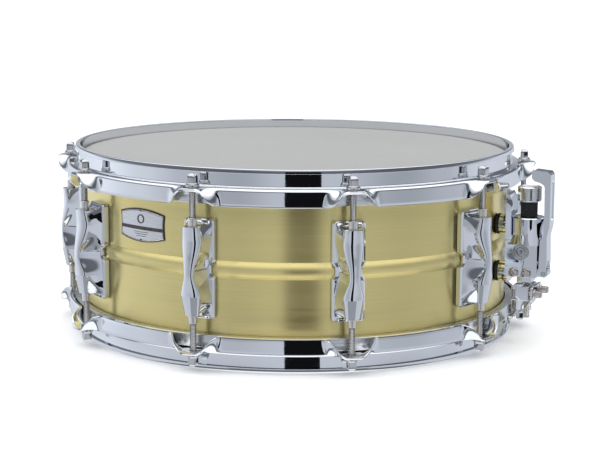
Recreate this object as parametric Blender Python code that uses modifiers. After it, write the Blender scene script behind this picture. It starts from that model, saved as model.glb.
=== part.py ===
"""Fourteen inch brass snare drum with ten one-piece lugs, a side-throw strainer and a butt plate.

All sizes below are in millimetres and are scaled to metres when a mesh is made.
Heights are measured from the shell's mid-height. The row's origin is the centre of
the batter head's top face, with +Z up and +X towards the strainer.
"""

import math

import bmesh
import bpy
from mathutils import Matrix, Vector

MM = 0.001

# Round parts share one set of angles, so that nested rings stay parallel.
SIDES = 40
SECTOR = 36.0
LUG_COUNT = 10
FIRST_LUG = 18.0
GAP = 0.3

SHELL_RADIUS = 177.8
SHELL_WALL = 1.2
SHELL_HALF = 68.75
BEAD_HALF = 6.3
BEAD_PROUD = 3.0
BED_DEPTH = 2.0
BED_CUT_RADIUS = 230.0

FILM = 0.3
HEAD_TOP = SHELL_HALF + GAP + FILM
COLLAR_BOTTOM = 56.0
FLESH_INNER = 178.95
FLESH_OUTER = 185.3
FLESH_TOP = 60.0
FLESH_BOTTOM = 49.5

HOOP_SHEET = 2.3
RIM_TOP = HEAD_TOP + 7.3
HOOP_WALL = 181.4
LIP_RADIUS = 184.0
SHOULDER_TOP = 62.8
BEND_START = 187.6
BEND_RADIUS = 2.4
SKIRT_LENGTH = 10.4
EAR_LENGTH = 9.1
EAR_HALF_WIDTH = 7.0
SCALLOP_HALF_WIDTH = 24.0
GATE_HALF_WIDTH = 26.0
GATE_LIP = 2.4

ROD_CIRCLE = 192.0
ROD_RADIUS = 2.5
ROD_END = 22.0
ROD_TOP = 73.1
ROD_HEAD = 6.5
WASHER_RADIUS = 5.35
WASHER_THICK = 1.8
EAR_HOLE = 3.3

LUG_BASE_BACK = SHELL_RADIUS + GAP
LUG_BASE_FRONT = 182.4
LUG_BASE_HALF = 38.0
LUG_BASE_WIDTH = 13.8
LUG_POST_TOP = 33.5
NUT_RADIUS = 3.45
NUT_END = 40.0
LUG_SCREW_HEIGHT = 26.0

BADGE_ANGLE = -108.0
BADGE_HEIGHT = 27.0
VENT_ANGLE = 108.0
VENT_HEIGHT = 22.0

KNOB_AXIS = 203.8
BODY_BACK = 187.6
BODY_FRONT = 213.8
BODY_HALF_WIDTH = 11.0
BODY_BOTTOM = -21.2
BARREL_RADIUS = 13.2
BARREL_TOP = 26.5
FOOT_HEIGHTS = (19.0, -19.5)
FOOT_RADIUS = 8.0
PIVOT = (218.4, -18.0)
LEVER_HALF_WIDTH = 7.0
LEVER_CHEEK = 1.2
BLOCK_TOP = -28.6
BLOCK_BOTTOM = -40.3
BLOCK_BACK = 194.0
BLOCK_FRONT = 208.6
CLAMP_HEIGHT = -34.4
CLAMP_SCREW_SPREAD = 10.2
STRAP_LINE = 209.3
STRAP_THICK = 0.6
STRAP_HALF_WIDTH = 12.0

WIRE_TOP = -69.7
WIRE_THICK = 1.8
WIRE_PITCH = 2.05
WIRE_STRANDS = 20
WIRE_HALF_LENGTH = 165.6
WIRE_PLATE = 17.0
WIRE_HINGE = -164.0


# ---------------------------------------------------------------- scene and materials

for old in list(bpy.data.objects):
    bpy.data.objects.remove(old)

drum = bpy.data.collections.new("snare_drum")
cutters = bpy.data.collections.new("cutters")
bpy.context.scene.collection.children.link(drum)
bpy.context.scene.collection.children.link(cutters)


def material(name, color, metallic, roughness):
    made = bpy.data.materials.new(name)
    made.use_nodes = True
    shader = made.node_tree.nodes["Principled BSDF"]
    shader.inputs["Base Color"].default_value = (*color, 1.0)
    shader.inputs["Metallic"].default_value = metallic
    shader.inputs["Roughness"].default_value = roughness
    return made


BRASS = material("satin_brass", (0.66, 0.58, 0.24), 1.0, 0.32)
CHROME = material("chrome", (0.80, 0.83, 0.88), 1.0, 0.06)
ALUMINIUM = material("aluminium", (0.78, 0.79, 0.80), 1.0, 0.25)
NICKEL = material("nickel_badge", (0.72, 0.72, 0.74), 1.0, 0.3)
FILM_WHITE = material("coated_film", (0.56, 0.55, 0.53), 0.0, 0.6)
RUBBER = material("black_rubber", (0.02, 0.02, 0.022), 0.0, 0.7)
STRAP = material("strap_plastic", (0.80, 0.80, 0.74), 0.0, 0.35)
STEEL = material("wire_steel", (0.62, 0.62, 0.62), 1.0, 0.3)


# ---------------------------------------------------------------- modelling helpers


def link(name, data, finish):
    """An object for a part, or for a cutter when it has no finish, at the shell's mid-height."""
    obj = bpy.data.objects.new(name, data)
    obj.location.z = -HEAD_TOP * MM
    if finish is None:
        cutters.objects.link(obj)
        obj.hide_render = True
        obj.display_type = "WIRE"
        return obj
    drum.objects.link(obj)
    data.materials.clear()
    data.materials.append(finish)
    return obj


def from_bmesh(name, bm, finish=None):
    bmesh.ops.scale(bm, vec=(MM, MM, MM), verts=bm.verts)
    mesh = bpy.data.meshes.new(name)
    bm.to_mesh(mesh)
    bm.free()
    return link(name, mesh, finish)


def box_into(bm, low, high):
    low, high = Vector(low), Vector(high)
    place = Matrix.Translation((low + high) / 2) @ Matrix.Diagonal((*(high - low), 1.0))
    bmesh.ops.create_cube(bm, size=1.0, matrix=place)


def box(name, low, high, finish=None):
    bm = bmesh.new()
    box_into(bm, low, high)
    return from_bmesh(name, bm, finish)


def rod_into(bm, start, end, radius, sides=12):
    """A cylinder from start to end."""
    start, end = Vector(start), Vector(end)
    along = end - start
    turn = along.to_track_quat("Z", "Y").to_matrix().to_4x4()
    place = Matrix.Translation((start + end) / 2) @ turn
    bmesh.ops.create_cone(
        bm,
        cap_ends=True,
        segments=sides,
        radius1=radius,
        radius2=radius,
        depth=along.length,
        matrix=place,
    )


def rods(name, spans, radius, sides=12, finish=None):
    bm = bmesh.new()
    for start, end in spans:
        rod_into(bm, start, end, radius, sides)
    return from_bmesh(name, bm, finish)


def turned(name, profile, finish=None, steps=SIDES):
    """A profile of (radius, height) pairs, run down its outer side, turned about Z."""
    mesh = bpy.data.meshes.new(name)
    points = [(radius * MM, 0.0, height * MM) for radius, height in profile]
    mesh.from_pydata(points, [(i, i + 1) for i in range(len(points) - 1)], [])
    obj = link(name, mesh, finish)
    screw = obj.modifiers.new("turn", "SCREW")
    screw.steps = steps
    screw.render_steps = steps
    screw.use_merge_vertices = True
    screw.merge_threshold = 0.00001
    return obj


def prism(name, outline, half_width, finish=None):
    """A flat outline in X and Z, half_width thick to each side along Y."""
    bm = bmesh.new()
    corners = [bm.verts.new((x, -half_width, z)) for x, z in outline]
    face = bm.faces.new(corners)
    grown = bmesh.ops.extrude_face_region(bm, geom=[face])["geom"]
    moved = [item for item in grown if isinstance(item, bmesh.types.BMVert)]
    bmesh.ops.translate(bm, vec=(0.0, 2.0 * half_width, 0.0), verts=moved)
    bmesh.ops.recalc_face_normals(bm, faces=bm.faces)
    return from_bmesh(name, bm, finish)


def sheet(name, rows, thickness, finish=None, closed=False):
    """A grid of points thickened away from its outer side. Each row runs down that side."""
    bm = bmesh.new()
    grid = [[bm.verts.new(point) for point in row] for row in rows]
    columns = list(zip(grid, grid[1:] + grid[:1])) if closed else list(zip(grid, grid[1:]))
    for left, right in columns:
        for i in range(len(left) - 1):
            bm.faces.new((left[i], left[i + 1], right[i + 1], right[i]))
    obj = from_bmesh(name, bm, finish)
    solid = obj.modifiers.new("thickness", "SOLIDIFY")
    solid.thickness = thickness * MM
    solid.offset = -1.0
    solid.use_even_offset = True
    return obj


def loft(name, sections, finish=None):
    """A closed solid through sections with equal numbers of points, capped at both ends."""
    bm = bmesh.new()
    loops = [[bm.verts.new(point) for point in section] for section in sections]
    count = len(loops[0])
    for lower, upper in zip(loops, loops[1:]):
        for i in range(count):
            j = (i + 1) % count
            bm.faces.new((lower[i], lower[j], upper[j], upper[i]))
    bm.faces.new(loops[0])
    bm.faces.new(loops[-1])
    bmesh.ops.recalc_face_normals(bm, faces=bm.faces)
    return from_bmesh(name, bm, finish)


def combine(obj, operation, *tools):
    for tool in tools:
        boolean = obj.modifiers.new(tool.name, "BOOLEAN")
        boolean.operation = operation
        boolean.solver = "EXACT"
        boolean.object = tool
    return obj


def baked_mesh(obj):
    """The evaluated mesh of a pattern object, for copies to share. The pattern is removed."""
    bpy.context.view_layer.update()
    graph = bpy.context.evaluated_depsgraph_get()
    mesh = bpy.data.meshes.new_from_object(obj.evaluated_get(graph))
    bpy.data.objects.remove(obj)
    return mesh


def copy_of(name, mesh, finish, x=0.0, y=0.0, z=0.0, turn=0.0, flip=False):
    """A part that shares a mesh, placed by its location and its turn about Z."""
    obj = link(name, mesh, finish)
    obj.location = Vector((x, y, z - HEAD_TOP)) * MM
    obj.rotation_euler = (math.pi if flip else 0.0, 0.0, math.radians(turn))
    return obj


def move_origin(obj, x, y, z):
    """Puts the object's origin on its joint's axis without moving its shape."""
    offset = Vector((x, y, z)) * MM
    obj.data.transform(Matrix.Translation(-offset))
    obj.location += offset


def shade(obj):
    obj.data.shade_smooth()
    obj.data.set_sharp_from_angle(angle=math.radians(35.0))


def polar(radius, angle, z):
    turn = math.radians(angle)
    return (radius * math.cos(turn), radius * math.sin(turn), z)


def lug_angles():
    return [FIRST_LUG + SECTOR * i for i in range(LUG_COUNT)]


# ---------------------------------------------------------------- shell, vent and badge


def shell_profile():
    """Down the outer side: turned-in bearing edge, wall, rolled bead, wall, bearing edge."""
    upper = [
        (SHELL_RADIUS - 4.4, SHELL_HALF - 1.6),
        (SHELL_RADIUS - 1.7, SHELL_HALF),
        (SHELL_RADIUS, SHELL_HALF - 2.4),
        (SHELL_RADIUS, BEAD_HALF),
        (SHELL_RADIUS + BEAD_PROUD, 0.4 * BEAD_HALF),
    ]
    lower = [(radius, -height) for radius, height in reversed(upper)]
    return upper + lower


def build_shell():
    shell = turned("shell", shell_profile(), BRASS)
    wall = shell.modifiers.new("wall", "SOLIDIFY")
    wall.thickness = SHELL_WALL * MM
    wall.offset = -1.0
    wall.use_even_offset = True
    inner = SHELL_RADIUS - 8.0
    outer = SHELL_RADIUS + 8.0
    lug_spans = []
    for angle in lug_angles():
        for height in (LUG_SCREW_HEIGHT, -LUG_SCREW_HEIGHT):
            lug_spans.append((polar(inner, angle, height), polar(outer, angle, height)))
    mount_spans = []
    for angle, heights in ((0.0, FOOT_HEIGHTS), (180.0, (-12.0, -34.4))):
        for height in heights:
            mount_spans.append((polar(inner, angle, height), polar(outer, angle, height)))
    vent = [(polar(inner, VENT_ANGLE, VENT_HEIGHT), polar(outer, VENT_ANGLE, VENT_HEIGHT))]
    combine(
        shell,
        "DIFFERENCE",
        rods("lug_screw_holes", lug_spans, 2.4, 8),
        rods("mount_screw_holes", mount_spans, 2.6, 8),
        rods("vent_hole", vent, 5.3, 12),
        snare_bed_cutter(),
    )
    return shell


def snare_bed_cutter():
    """One wide cylinder across the drum whose top dips into the bottom edge at both beds."""
    top = -SHELL_HALF + BED_DEPTH
    centre = top - BED_CUT_RADIUS
    reach = SHELL_RADIUS + 20.0
    return rods("snare_beds", [((-reach, 0.0, centre), (reach, 0.0, centre))], BED_CUT_RADIUS, 96)


def build_vent():
    """A flanged eyelet through the wall, turned about Z and laid along the wall's normal."""
    profile = [
        (3.6, 1.5),
        (7.4, 1.5),
        (7.4, GAP),
        (4.9, GAP),
        (4.9, -2.3),
        (7.0, -2.3),
        (7.0, -3.5),
        (3.6, -3.5),
        (3.6, 1.5),
    ]
    vent = turned("vent_grommet", profile, CHROME, steps=12)
    vent.location = Vector(polar(SHELL_RADIUS, VENT_ANGLE, VENT_HEIGHT - HEAD_TOP)) * MM
    vent.rotation_euler = (0.0, math.pi / 2.0, math.radians(VENT_ANGLE))
    return vent


def build_badge():
    """A thin plate bent round the shell, taller in its middle than at its sides."""
    half_angle = 7.7
    radius = SHELL_RADIUS + GAP + 0.8
    rows = []
    for step in range(-3, 4):
        share = step / 3.0
        half_height = 13.0 - 3.5 * share * share
        angle = BADGE_ANGLE + half_angle * share
        heights = (BADGE_HEIGHT + half_height, BADGE_HEIGHT - half_height)
        rows.append([polar(radius, angle, height) for height in heights])
    return sheet("badge", rows, 0.8, NICKEL)


# ---------------------------------------------------------------- heads and hoops


def ring(name, profile, finish, side):
    """A turned part for the batter side (side 1) or mirrored for the snare side (side -1)."""
    if side < 0:
        profile = [(radius, -height) for radius, height in reversed(profile)]
    return turned(name, profile, finish)


def build_head(name, side):
    """Film across the bearing edge, with a collar down to the flesh hoop."""
    collar = SHELL_RADIUS + GAP
    profile = [
        (0.0, HEAD_TOP),
        (SHELL_RADIUS - 1.6, HEAD_TOP),
        (collar + FILM, HEAD_TOP - 2.8),
        (collar + FILM, COLLAR_BOTTOM),
        (collar, COLLAR_BOTTOM),
        (collar, HEAD_TOP - 2.9),
        (SHELL_RADIUS - 1.75, HEAD_TOP - FILM),
        (0.0, HEAD_TOP - FILM),
    ]
    return ring(name, profile, FILM_WHITE, side)


def build_flesh_hoop(name, side):
    profile = [
        (FLESH_INNER, FLESH_TOP),
        (FLESH_OUTER, FLESH_TOP),
        (FLESH_OUTER, FLESH_BOTTOM),
        (FLESH_INNER, FLESH_BOTTOM),
        (FLESH_INNER, FLESH_TOP),
    ]
    return ring(name, profile, ALUMINIUM, side)


def hoop_section(offset):
    """(radius, height) pairs down the hoop's outer side, offset degrees from a rod.

    The outer band hangs down as a skirt between rods and folds out flat as an ear at a rod.
    """
    across = abs(math.radians(offset)) * ROD_CIRCLE
    share = (across - EAR_HALF_WIDTH) / (SCALLOP_HALF_WIDTH - EAR_HALF_WIDTH)
    share = min(max(share, 0.0), 1.0)
    share = share * share * (3.0 - 2.0 * share)
    fold = max(share * math.pi / 2.0, 0.001)
    bend_length = BEND_RADIUS * math.pi / 2.0
    curve = bend_length / fold
    band = EAR_LENGTH + (SKIRT_LENGTH - EAR_LENGTH) * share
    bend = [
        (BEND_START + curve * math.sin(turn), SHOULDER_TOP - curve * (1.0 - math.cos(turn)))
        for turn in (fold / 2.0, fold)
    ]
    edge = (bend[1][0] + band * math.cos(fold), bend[1][1] - band * math.sin(fold))
    return [
        (LIP_RADIUS, RIM_TOP - HOOP_SHEET),
        (HOOP_WALL, RIM_TOP - HOOP_SHEET),
        (HOOP_WALL, SHOULDER_TOP),
        (BEND_START, SHOULDER_TOP),
        *bend,
        edge,
    ]


def build_hoop(name, side):
    """A triple-flanged steel hoop, lofted round the drum from sections that change at each rod."""
    rows = []
    for angle in lug_angles():
        for offset in (-9.0, -5.0, -2.0, 2.0, 5.0, 9.0, 18.0):
            section = [polar(radius, angle + offset, height) for radius, height in hoop_section(offset)]
            if side < 0:
                section = [(x, y, -z) for x, y, z in reversed(section)]
            rows.append(section)
    hoop = sheet(name, rows, HOOP_SHEET, CHROME, closed=True)
    low, high = sorted((side * (SHOULDER_TOP - 8.0), side * (SHOULDER_TOP + 8.0)))
    holes = [(polar(ROD_CIRCLE, angle, low), polar(ROD_CIRCLE, angle, high)) for angle in lug_angles()]
    combine(hoop, "DIFFERENCE", rods(name + "_holes", holes, EAR_HOLE, 10))
    return hoop


def gate_cutter():
    """Windows through the snare-side hoop for the straps. Its rolled lip is left whole."""
    bm = bmesh.new()
    low = -(RIM_TOP - GATE_LIP)
    for direction in (-1.0, 1.0):
        near, far = sorted((direction * 165.0, direction * 210.0))
        box_into(bm, (near, -GATE_HALF_WIDTH, low), (far, GATE_HALF_WIDTH, -40.0))
    return from_bmesh("snare_gates", bm)


# ---------------------------------------------------------------- lugs and tension rods


def lug_post():
    """Hourglass post with a rounded front, widest near both ends and furthest out at its waist."""
    stations = (
        (-LUG_POST_TOP, 5.9, 197.4),
        (-18.5, 8.2, 200.4),
        (-2.0, 3.9, 201.1),
        (23.0, 8.3, 198.5),
        (LUG_POST_TOP, 6.9, 199.0),
    )
    sections = []
    for height, width, front in stations:
        root = width + 3.4
        half = [
            (LUG_BASE_FRONT - 1.2, root),
            (front - width, width),
            (front - 0.3 * width, 0.72 * width),
            (front, 0.0),
        ]
        section = [(radius, -across, height) for radius, across in half]
        section += [(radius, across, height) for radius, across in reversed(half[:-1])]
        sections.append(section)
    return loft("lug_post", sections)


def lug_base():
    """Flat base flange, notched at each side where it crosses the bead."""
    side = [
        (LUG_BASE_WIDTH, LUG_BASE_HALF),
        (LUG_BASE_WIDTH, 7.0),
        (LUG_BASE_WIDTH - 2.6, 3.0),
        (LUG_BASE_WIDTH - 2.6, -3.0),
        (LUG_BASE_WIDTH, -7.0),
        (LUG_BASE_WIDTH, -LUG_BASE_HALF),
    ]
    outline = side + [(-across, height) for across, height in reversed(side)]
    sections = [[(depth, y, z) for y, z in outline] for depth in (LUG_BASE_BACK, LUG_BASE_FRONT)]
    return loft("lug_base", sections)


def lug_mesh():
    """One lug with its two swivel nuts and the two screws that hold it to the shell."""
    nuts = []
    bores = []
    shanks = []
    heads = []
    for side in (1.0, -1.0):
        nuts.append(((ROD_CIRCLE, 0.0, side * 28.0), (ROD_CIRCLE, 0.0, side * NUT_END)))
        bores.append(((ROD_CIRCLE, 0.0, side * (ROD_END - 4.0)), (ROD_CIRCLE, 0.0, side * 45.0)))
        level = side * LUG_SCREW_HEIGHT
        shanks.append(((173.0, 0.0, level), (LUG_BASE_FRONT - 1.0, 0.0, level)))
        heads.append(((172.6, 0.0, level), (175.9, 0.0, level)))
    bead = BEAD_HALF + 2 * GAP
    channel = box("lug_channel", (170.0, -20.0, -bead), (SHELL_RADIUS + BEAD_PROUD + GAP, 20.0, bead))
    body = lug_base()
    combine(
        body,
        "UNION",
        lug_post(),
        rods("lug_nuts", nuts, NUT_RADIUS, 8),
        rods("lug_screw_shanks", shanks, 2.0, 6),
        rods("lug_screw_heads", heads, 4.2, 6),
    )
    combine(body, "DIFFERENCE", rods("lug_bores", bores, ROD_RADIUS + 0.45, 6), channel)
    return baked_mesh(body)


def build_lugs():
    mesh = lug_mesh()
    for index, angle in enumerate(lug_angles()):
        copy_of(f"lug_{index + 1:02d}", mesh, CHROME, turn=angle)


def rod_mesh():
    """A tension rod with its washer: square head, round collar, shank. Its origin is on its axis."""
    washer_bottom = SHOULDER_TOP + GAP
    washer_top = washer_bottom + WASHER_THICK
    profile = [
        (0.0, washer_top),
        (WASHER_RADIUS, washer_top),
        (WASHER_RADIUS, washer_bottom),
        (ROD_RADIUS, washer_bottom),
        (ROD_RADIUS, ROD_END + 1.0),
        (ROD_RADIUS - 1.0, ROD_END),
        (0.0, ROD_END),
    ]
    half = ROD_HEAD / 2.0
    rod = turned("rod_pattern", profile, steps=8)
    head = box("rod_head", (-half, -half, washer_top - 0.5), (half, half, ROD_TOP))
    combine(rod, "UNION", head)
    return baked_mesh(rod)


def build_rods():
    mesh = rod_mesh()
    for index, angle in enumerate(lug_angles()):
        x, y, _ = polar(ROD_CIRCLE, angle, 0.0)
        copy_of(f"batter_rod_{index + 1:02d}", mesh, CHROME, x, y, turn=angle)
        copy_of(f"snare_side_rod_{index + 1:02d}", mesh, CHROME, x, y, turn=angle, flip=True)


# ---------------------------------------------------------------- strainer


def build_housing():
    """Die-cast body on two feet, with the barrel under the knob and the lever's knuckle."""
    width = BODY_HALF_WIDTH
    low = (BODY_BACK + 2.0, -width, BODY_BOTTOM)
    body = box("strainer_housing", low, (BODY_FRONT, width, 17.0), CHROME)
    plate = [
        (BODY_BACK, BODY_BOTTOM),
        (BODY_BACK + 4.4, BODY_BOTTOM),
        (BODY_BACK + 4.4, 30.0),
        (BODY_BACK + 5.6, 38.0),
        (BODY_BACK, 47.0),
    ]
    barrel = [
        (0.0, BARREL_TOP),
        (BARREL_RADIUS, BARREL_TOP),
        (BARREL_RADIUS, 14.0),
        (9.5, 6.0),
        (0.0, 6.0),
    ]
    barrel_tool = turned("barrel", barrel, steps=16)
    barrel_tool.location.x = KNOB_AXIS * MM
    pivot_x, pivot_z = PIVOT
    feet = [((181.0, 0.0, z), (BODY_BACK + 1.0, 0.0, z)) for z in FOOT_HEIGHTS]
    shanks = [((174.0, 0.0, z), (182.0, 0.0, z)) for z in FOOT_HEIGHTS]
    heads = [((172.2, 0.0, z), (175.8, 0.0, z)) for z in FOOT_HEIGHTS]
    combine(
        body,
        "UNION",
        prism("back_plate", plate, width - 0.5),
        barrel_tool,
        rods("feet", feet, FOOT_RADIUS, 12),
        rods("mount_shanks", shanks, 2.2, 8),
        rods("mount_heads", heads, 4.4, 8),
        box("knuckle_root", (BODY_FRONT - 1.0, -5.3, BODY_BOTTOM), (pivot_x, 5.3, pivot_z + 3.2)),
        rods("knuckle", [((pivot_x, -5.4, pivot_z), (pivot_x, 5.4, pivot_z))], 3.2, 12),
    )
    cavity = box("lift_cavity", (197.5, -7.3, BODY_BOTTOM - 1.0), (210.1, 7.3, 8.0))
    shaft_bore = rods("shaft_bore", [((KNOB_AXIS, 0.0, 5.0), (KNOB_AXIS, 0.0, 30.0))], 3.5, 10)
    pin_bore = rods("pin_bore", [((pivot_x, -10.0, pivot_z), (pivot_x, 10.0, pivot_z))], 1.9, 8)
    combine(body, "DIFFERENCE", cavity, shaft_bore, pin_bore)
    medal = [((200.3, -width - 2.0, -1.2), (200.3, -width + 0.8, -1.2))]
    combine(body, "DIFFERENCE", rods("medallion_seat", medal, 7.1, 16))
    return pin_bore


def build_medallion():
    spans = [((200.3, -BODY_HALF_WIDTH - 0.3, -1.2), (200.3, -BODY_HALF_WIDTH + 0.5, -1.2))]
    rods("side_medallion", spans, 6.8, 16, CHROME)


def build_gaskets():
    """Rubber rings under the strainer's two feet."""
    for name, height in zip(("upper_foot_gasket", "lower_foot_gasket"), FOOT_HEIGHTS):
        profile = [(2.5, 1.2), (8.2, 1.2), (8.2, -1.2), (2.5, -1.2), (2.5, 1.2)]
        gasket = turned(name, profile, RUBBER, steps=12)
        gasket.location = Vector((SHELL_RADIUS + 1.6, 0.0, height - HEAD_TOP)) * MM
        gasket.rotation_euler.y = math.pi / 2.0


def lever_outline():
    """Side view of the lever: up its outer side, over its hooked head and down its inner side."""
    return [
        (220.2, -21.2),
        (220.9, -8.2),
        (220.4, 11.9),
        (222.4, 20.2),
        (222.3, 60.6),
        (220.4, 63.6),
        (208.2, 64.6),
        (206.8, 63.2),
        (206.9, 58.1),
        (209.0, 55.8),
        (214.0, 54.6),
        (217.4, 52.5),
        (217.8, 29.4),
        (217.5, 25.0),
        (217.5, 12.0),
        (214.8, 8.5),
        (214.5, -16.8),
        (216.0, -20.8),
    ]


def build_lever(pin_bore):
    """Channel-shaped throw-off lever whose lower flanges straddle the housing's knuckle."""
    lever = prism("strainer_lever", lever_outline(), LEVER_HALF_WIDTH, CHROME)
    gap = LEVER_HALF_WIDTH - LEVER_CHEEK
    channel = box("lever_channel", (213.0, -gap, -12.5), (219.0, gap, 9.0))
    mouth = box("lever_mouth", (213.0, -gap, -23.0), (224.0, gap, -12.4))
    combine(lever, "DIFFERENCE", channel, mouth, pin_bore)
    move_origin(lever, PIVOT[0], 0.0, PIVOT[1])
    half = LEVER_HALF_WIDTH - 0.2
    pin = rods("lever_pin", [((PIVOT[0], -half, PIVOT[1]), (PIVOT[0], half, PIVOT[1]))], 1.55, 10, STEEL)
    move_origin(pin, PIVOT[0], 0.0, PIVOT[1])


def build_knob():
    """Adjuster knob: a chromed cap on a stepped shaft, with a knurled rubber grip below it."""
    cap = [
        (0.0, 51.0),
        (8.6, 51.0),
        (9.7, 49.9),
        (9.7, 40.0),
        (8.9, 39.0),
        (3.0, 39.0),
        (3.0, 8.0),
        (1.6, 7.0),
        (1.6, -9.0),
        (0.0, -9.0),
    ]
    grip = [(3.3, 38.7), (6.75, 38.7), (6.75, 26.8), (3.3, 26.8), (3.3, 38.7)]
    for name, profile, finish in (("knob_cap", cap, CHROME), ("knob_grip", grip, RUBBER)):
        turned(name, profile, finish, steps=16).location.x = KNOB_AXIS * MM


def build_lift():
    """Slide that the lever lowers, and the threaded stud on the clamp block that runs up into it."""
    lift = box("lift_slide", (197.9, -6.9, -17.5), (209.7, 6.9, 4.5), CHROME)
    stem = box("lift_stem", (199.0, -6.4, -26.2), (208.6, 6.4, -17.0))
    bore = rods("spindle_bore", [((KNOB_AXIS, 0.0, -30.0), (KNOB_AXIS, 0.0, 8.0))], 3.5, 10)
    combine(lift, "UNION", stem)
    combine(lift, "DIFFERENCE", bore)
    profile = [
        (2.0, 3.5),
        (3.1, 3.5),
        (3.1, -27.4),
        (2.6, -27.4),
        (2.6, -56.0),
        (0.0, -56.8),
        (0.0, -13.0),
        (2.0, -13.0),
        (2.0, 3.5),
    ]
    turned("lift_spindle", profile, STEEL, steps=10).location.x = KNOB_AXIS * MM


def clamp_hole_spans(front, back):
    spans = []
    for y in (-CLAMP_SCREW_SPREAD, CLAMP_SCREW_SPREAD):
        spans.append(((back, y, CLAMP_HEIGHT), (front, y, CLAMP_HEIGHT)))
    return spans


def clamp_plate_mesh():
    """The plate that grips a strap against its block, with two screw holes."""
    plate = box("clamp_plate_pattern", (210.0, -13.4, BLOCK_BOTTOM), (212.0, 13.4, BLOCK_TOP))
    combine(plate, "DIFFERENCE", rods("clamp_plate_holes", clamp_hole_spans(214.0, 208.0), 2.3, 8))
    return baked_mesh(plate)


def clamp_screw_mesh():
    """A square-headed clamp screw along X, with its origin on its axis."""
    spans = [((202.5, 0.0, 0.0), (213.0, 0.0, 0.0))]
    screw = rods("clamp_screw_pattern", spans, 2.0, 8)
    screw.location.z = 0.0
    collar = rods("clamp_screw_collar", [((212.3, 0.0, 0.0), (213.4, 0.0, 0.0))], 3.9, 8)
    collar.location.z = 0.0
    head = box("clamp_screw_head", (213.2, -2.6, -2.6), (219.0, 2.6, 2.6))
    head.location.z = 0.0
    combine(screw, "UNION", collar, head)
    return baked_mesh(screw)


def build_clamps():
    """The strainer's travelling block, and a plate and two screws for each strap."""
    low = (BLOCK_BACK, -13.4, BLOCK_BOTTOM)
    block = box("clamp_block", low, (BLOCK_FRONT, 13.4, BLOCK_TOP), CHROME)
    bore = rods("block_bore", [((KNOB_AXIS, 0.0, -45.0), (KNOB_AXIS, 0.0, -24.0))], 2.9, 10)
    combine(block, "DIFFERENCE", bore, rods("block_screw_holes", clamp_hole_spans(215.0, 201.0), 2.3, 8))
    plate = clamp_plate_mesh()
    screw = clamp_screw_mesh()
    for owner, turn in (("strainer", 0.0), ("butt", 180.0)):
        copy_of(f"{owner}_clamp_plate", plate, CHROME, turn=turn)
        for hand, y in (("left", -CLAMP_SCREW_SPREAD), ("right", CLAMP_SCREW_SPREAD)):
            flip = math.cos(math.radians(turn))
            copy_of(f"{owner}_clamp_screw_{hand}", screw, CHROME, 0.0, flip * y, CLAMP_HEIGHT, turn)


# ---------------------------------------------------------------- butt, straps and snare wires


def build_butt():
    """Fixed clamp block opposite the strainer, drawn on the +X side and turned half round."""
    plate_low = (LUG_BASE_BACK, -15.0, -44.0)
    body = box("butt_block", plate_low, (182.0, 15.0, -8.0), CHROME)
    arm = [(181.0, -14.0), (BLOCK_FRONT, BLOCK_TOP), (BLOCK_FRONT, BLOCK_BOTTOM), (181.0, BLOCK_BOTTOM)]
    heights = (-12.0, -34.4)
    shanks = [((174.0, 0.0, z), (180.0, 0.0, z)) for z in heights]
    heads = [((172.2, 0.0, z), (175.8, 0.0, z)) for z in heights]
    combine(
        body,
        "UNION",
        prism("butt_arm", arm, 13.4),
        rods("butt_shanks", shanks, 2.2, 8),
        rods("butt_heads", heads, 4.4, 8),
    )
    combine(body, "DIFFERENCE", rods("butt_screw_holes", clamp_hole_spans(215.0, 201.0), 2.3, 8))
    mesh = baked_mesh(body)
    copy_of("butt_block", mesh, CHROME, turn=180.0)


def strap_mesh():
    """A plastic strap: down through the clamp, in through the gate and along under the head."""
    path = [
        (STRAP_LINE, -29.6),
        (STRAP_LINE, -40.8),
        (206.0, -46.0),
        (196.0, -53.9),
        (184.0, -63.9),
        (176.2, -71.0),
        (172.0, -71.1),
        (166.5, -71.1),
    ]
    shift = STRAP_THICK / 2.0
    rows = []
    for y in (-STRAP_HALF_WIDTH, STRAP_HALF_WIDTH):
        rows.append([(x + shift, y, z) for x, z in path])
    strap = sheet("strap_pattern", rows, STRAP_THICK)
    notches = rods("strap_notches", clamp_hole_spans(215.0, 201.0), 2.4, 8)
    spindle = rods("strap_hole", [((KNOB_AXIS, 0.0, -62.0), (KNOB_AXIS, 0.0, -43.0))], 4.2, 10)
    combine(strap, "DIFFERENCE", notches, spindle)
    return baked_mesh(strap)


def build_straps():
    mesh = strap_mesh()
    copy_of("strainer_strap", mesh, STRAP)
    copy_of("butt_strap", mesh, STRAP, turn=180.0)


def build_snare_wires():
    """Two end plates and the strands between them, left by cutting slots in one slab."""
    half_width = WIRE_PITCH * WIRE_STRANDS / 2.0
    low = (-WIRE_HALF_LENGTH, -half_width, WIRE_TOP - WIRE_THICK)
    wires = box("snare_wires", low, (WIRE_HALF_LENGTH, half_width, WIRE_TOP), STEEL)
    bm = bmesh.new()
    reach = WIRE_HALF_LENGTH - WIRE_PLATE
    for index in range(1, WIRE_STRANDS):
        y = index * WIRE_PITCH - half_width
        box_into(bm, (-reach, y - 0.4, WIRE_TOP - 5.0), (reach, y + 0.4, WIRE_TOP + 5.0))
    combine(wires, "DIFFERENCE", from_bmesh("strand_slots", bm))
    move_origin(wires, WIRE_HINGE, 0.0, WIRE_TOP - WIRE_THICK / 2.0)


# ---------------------------------------------------------------- assembly

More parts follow.
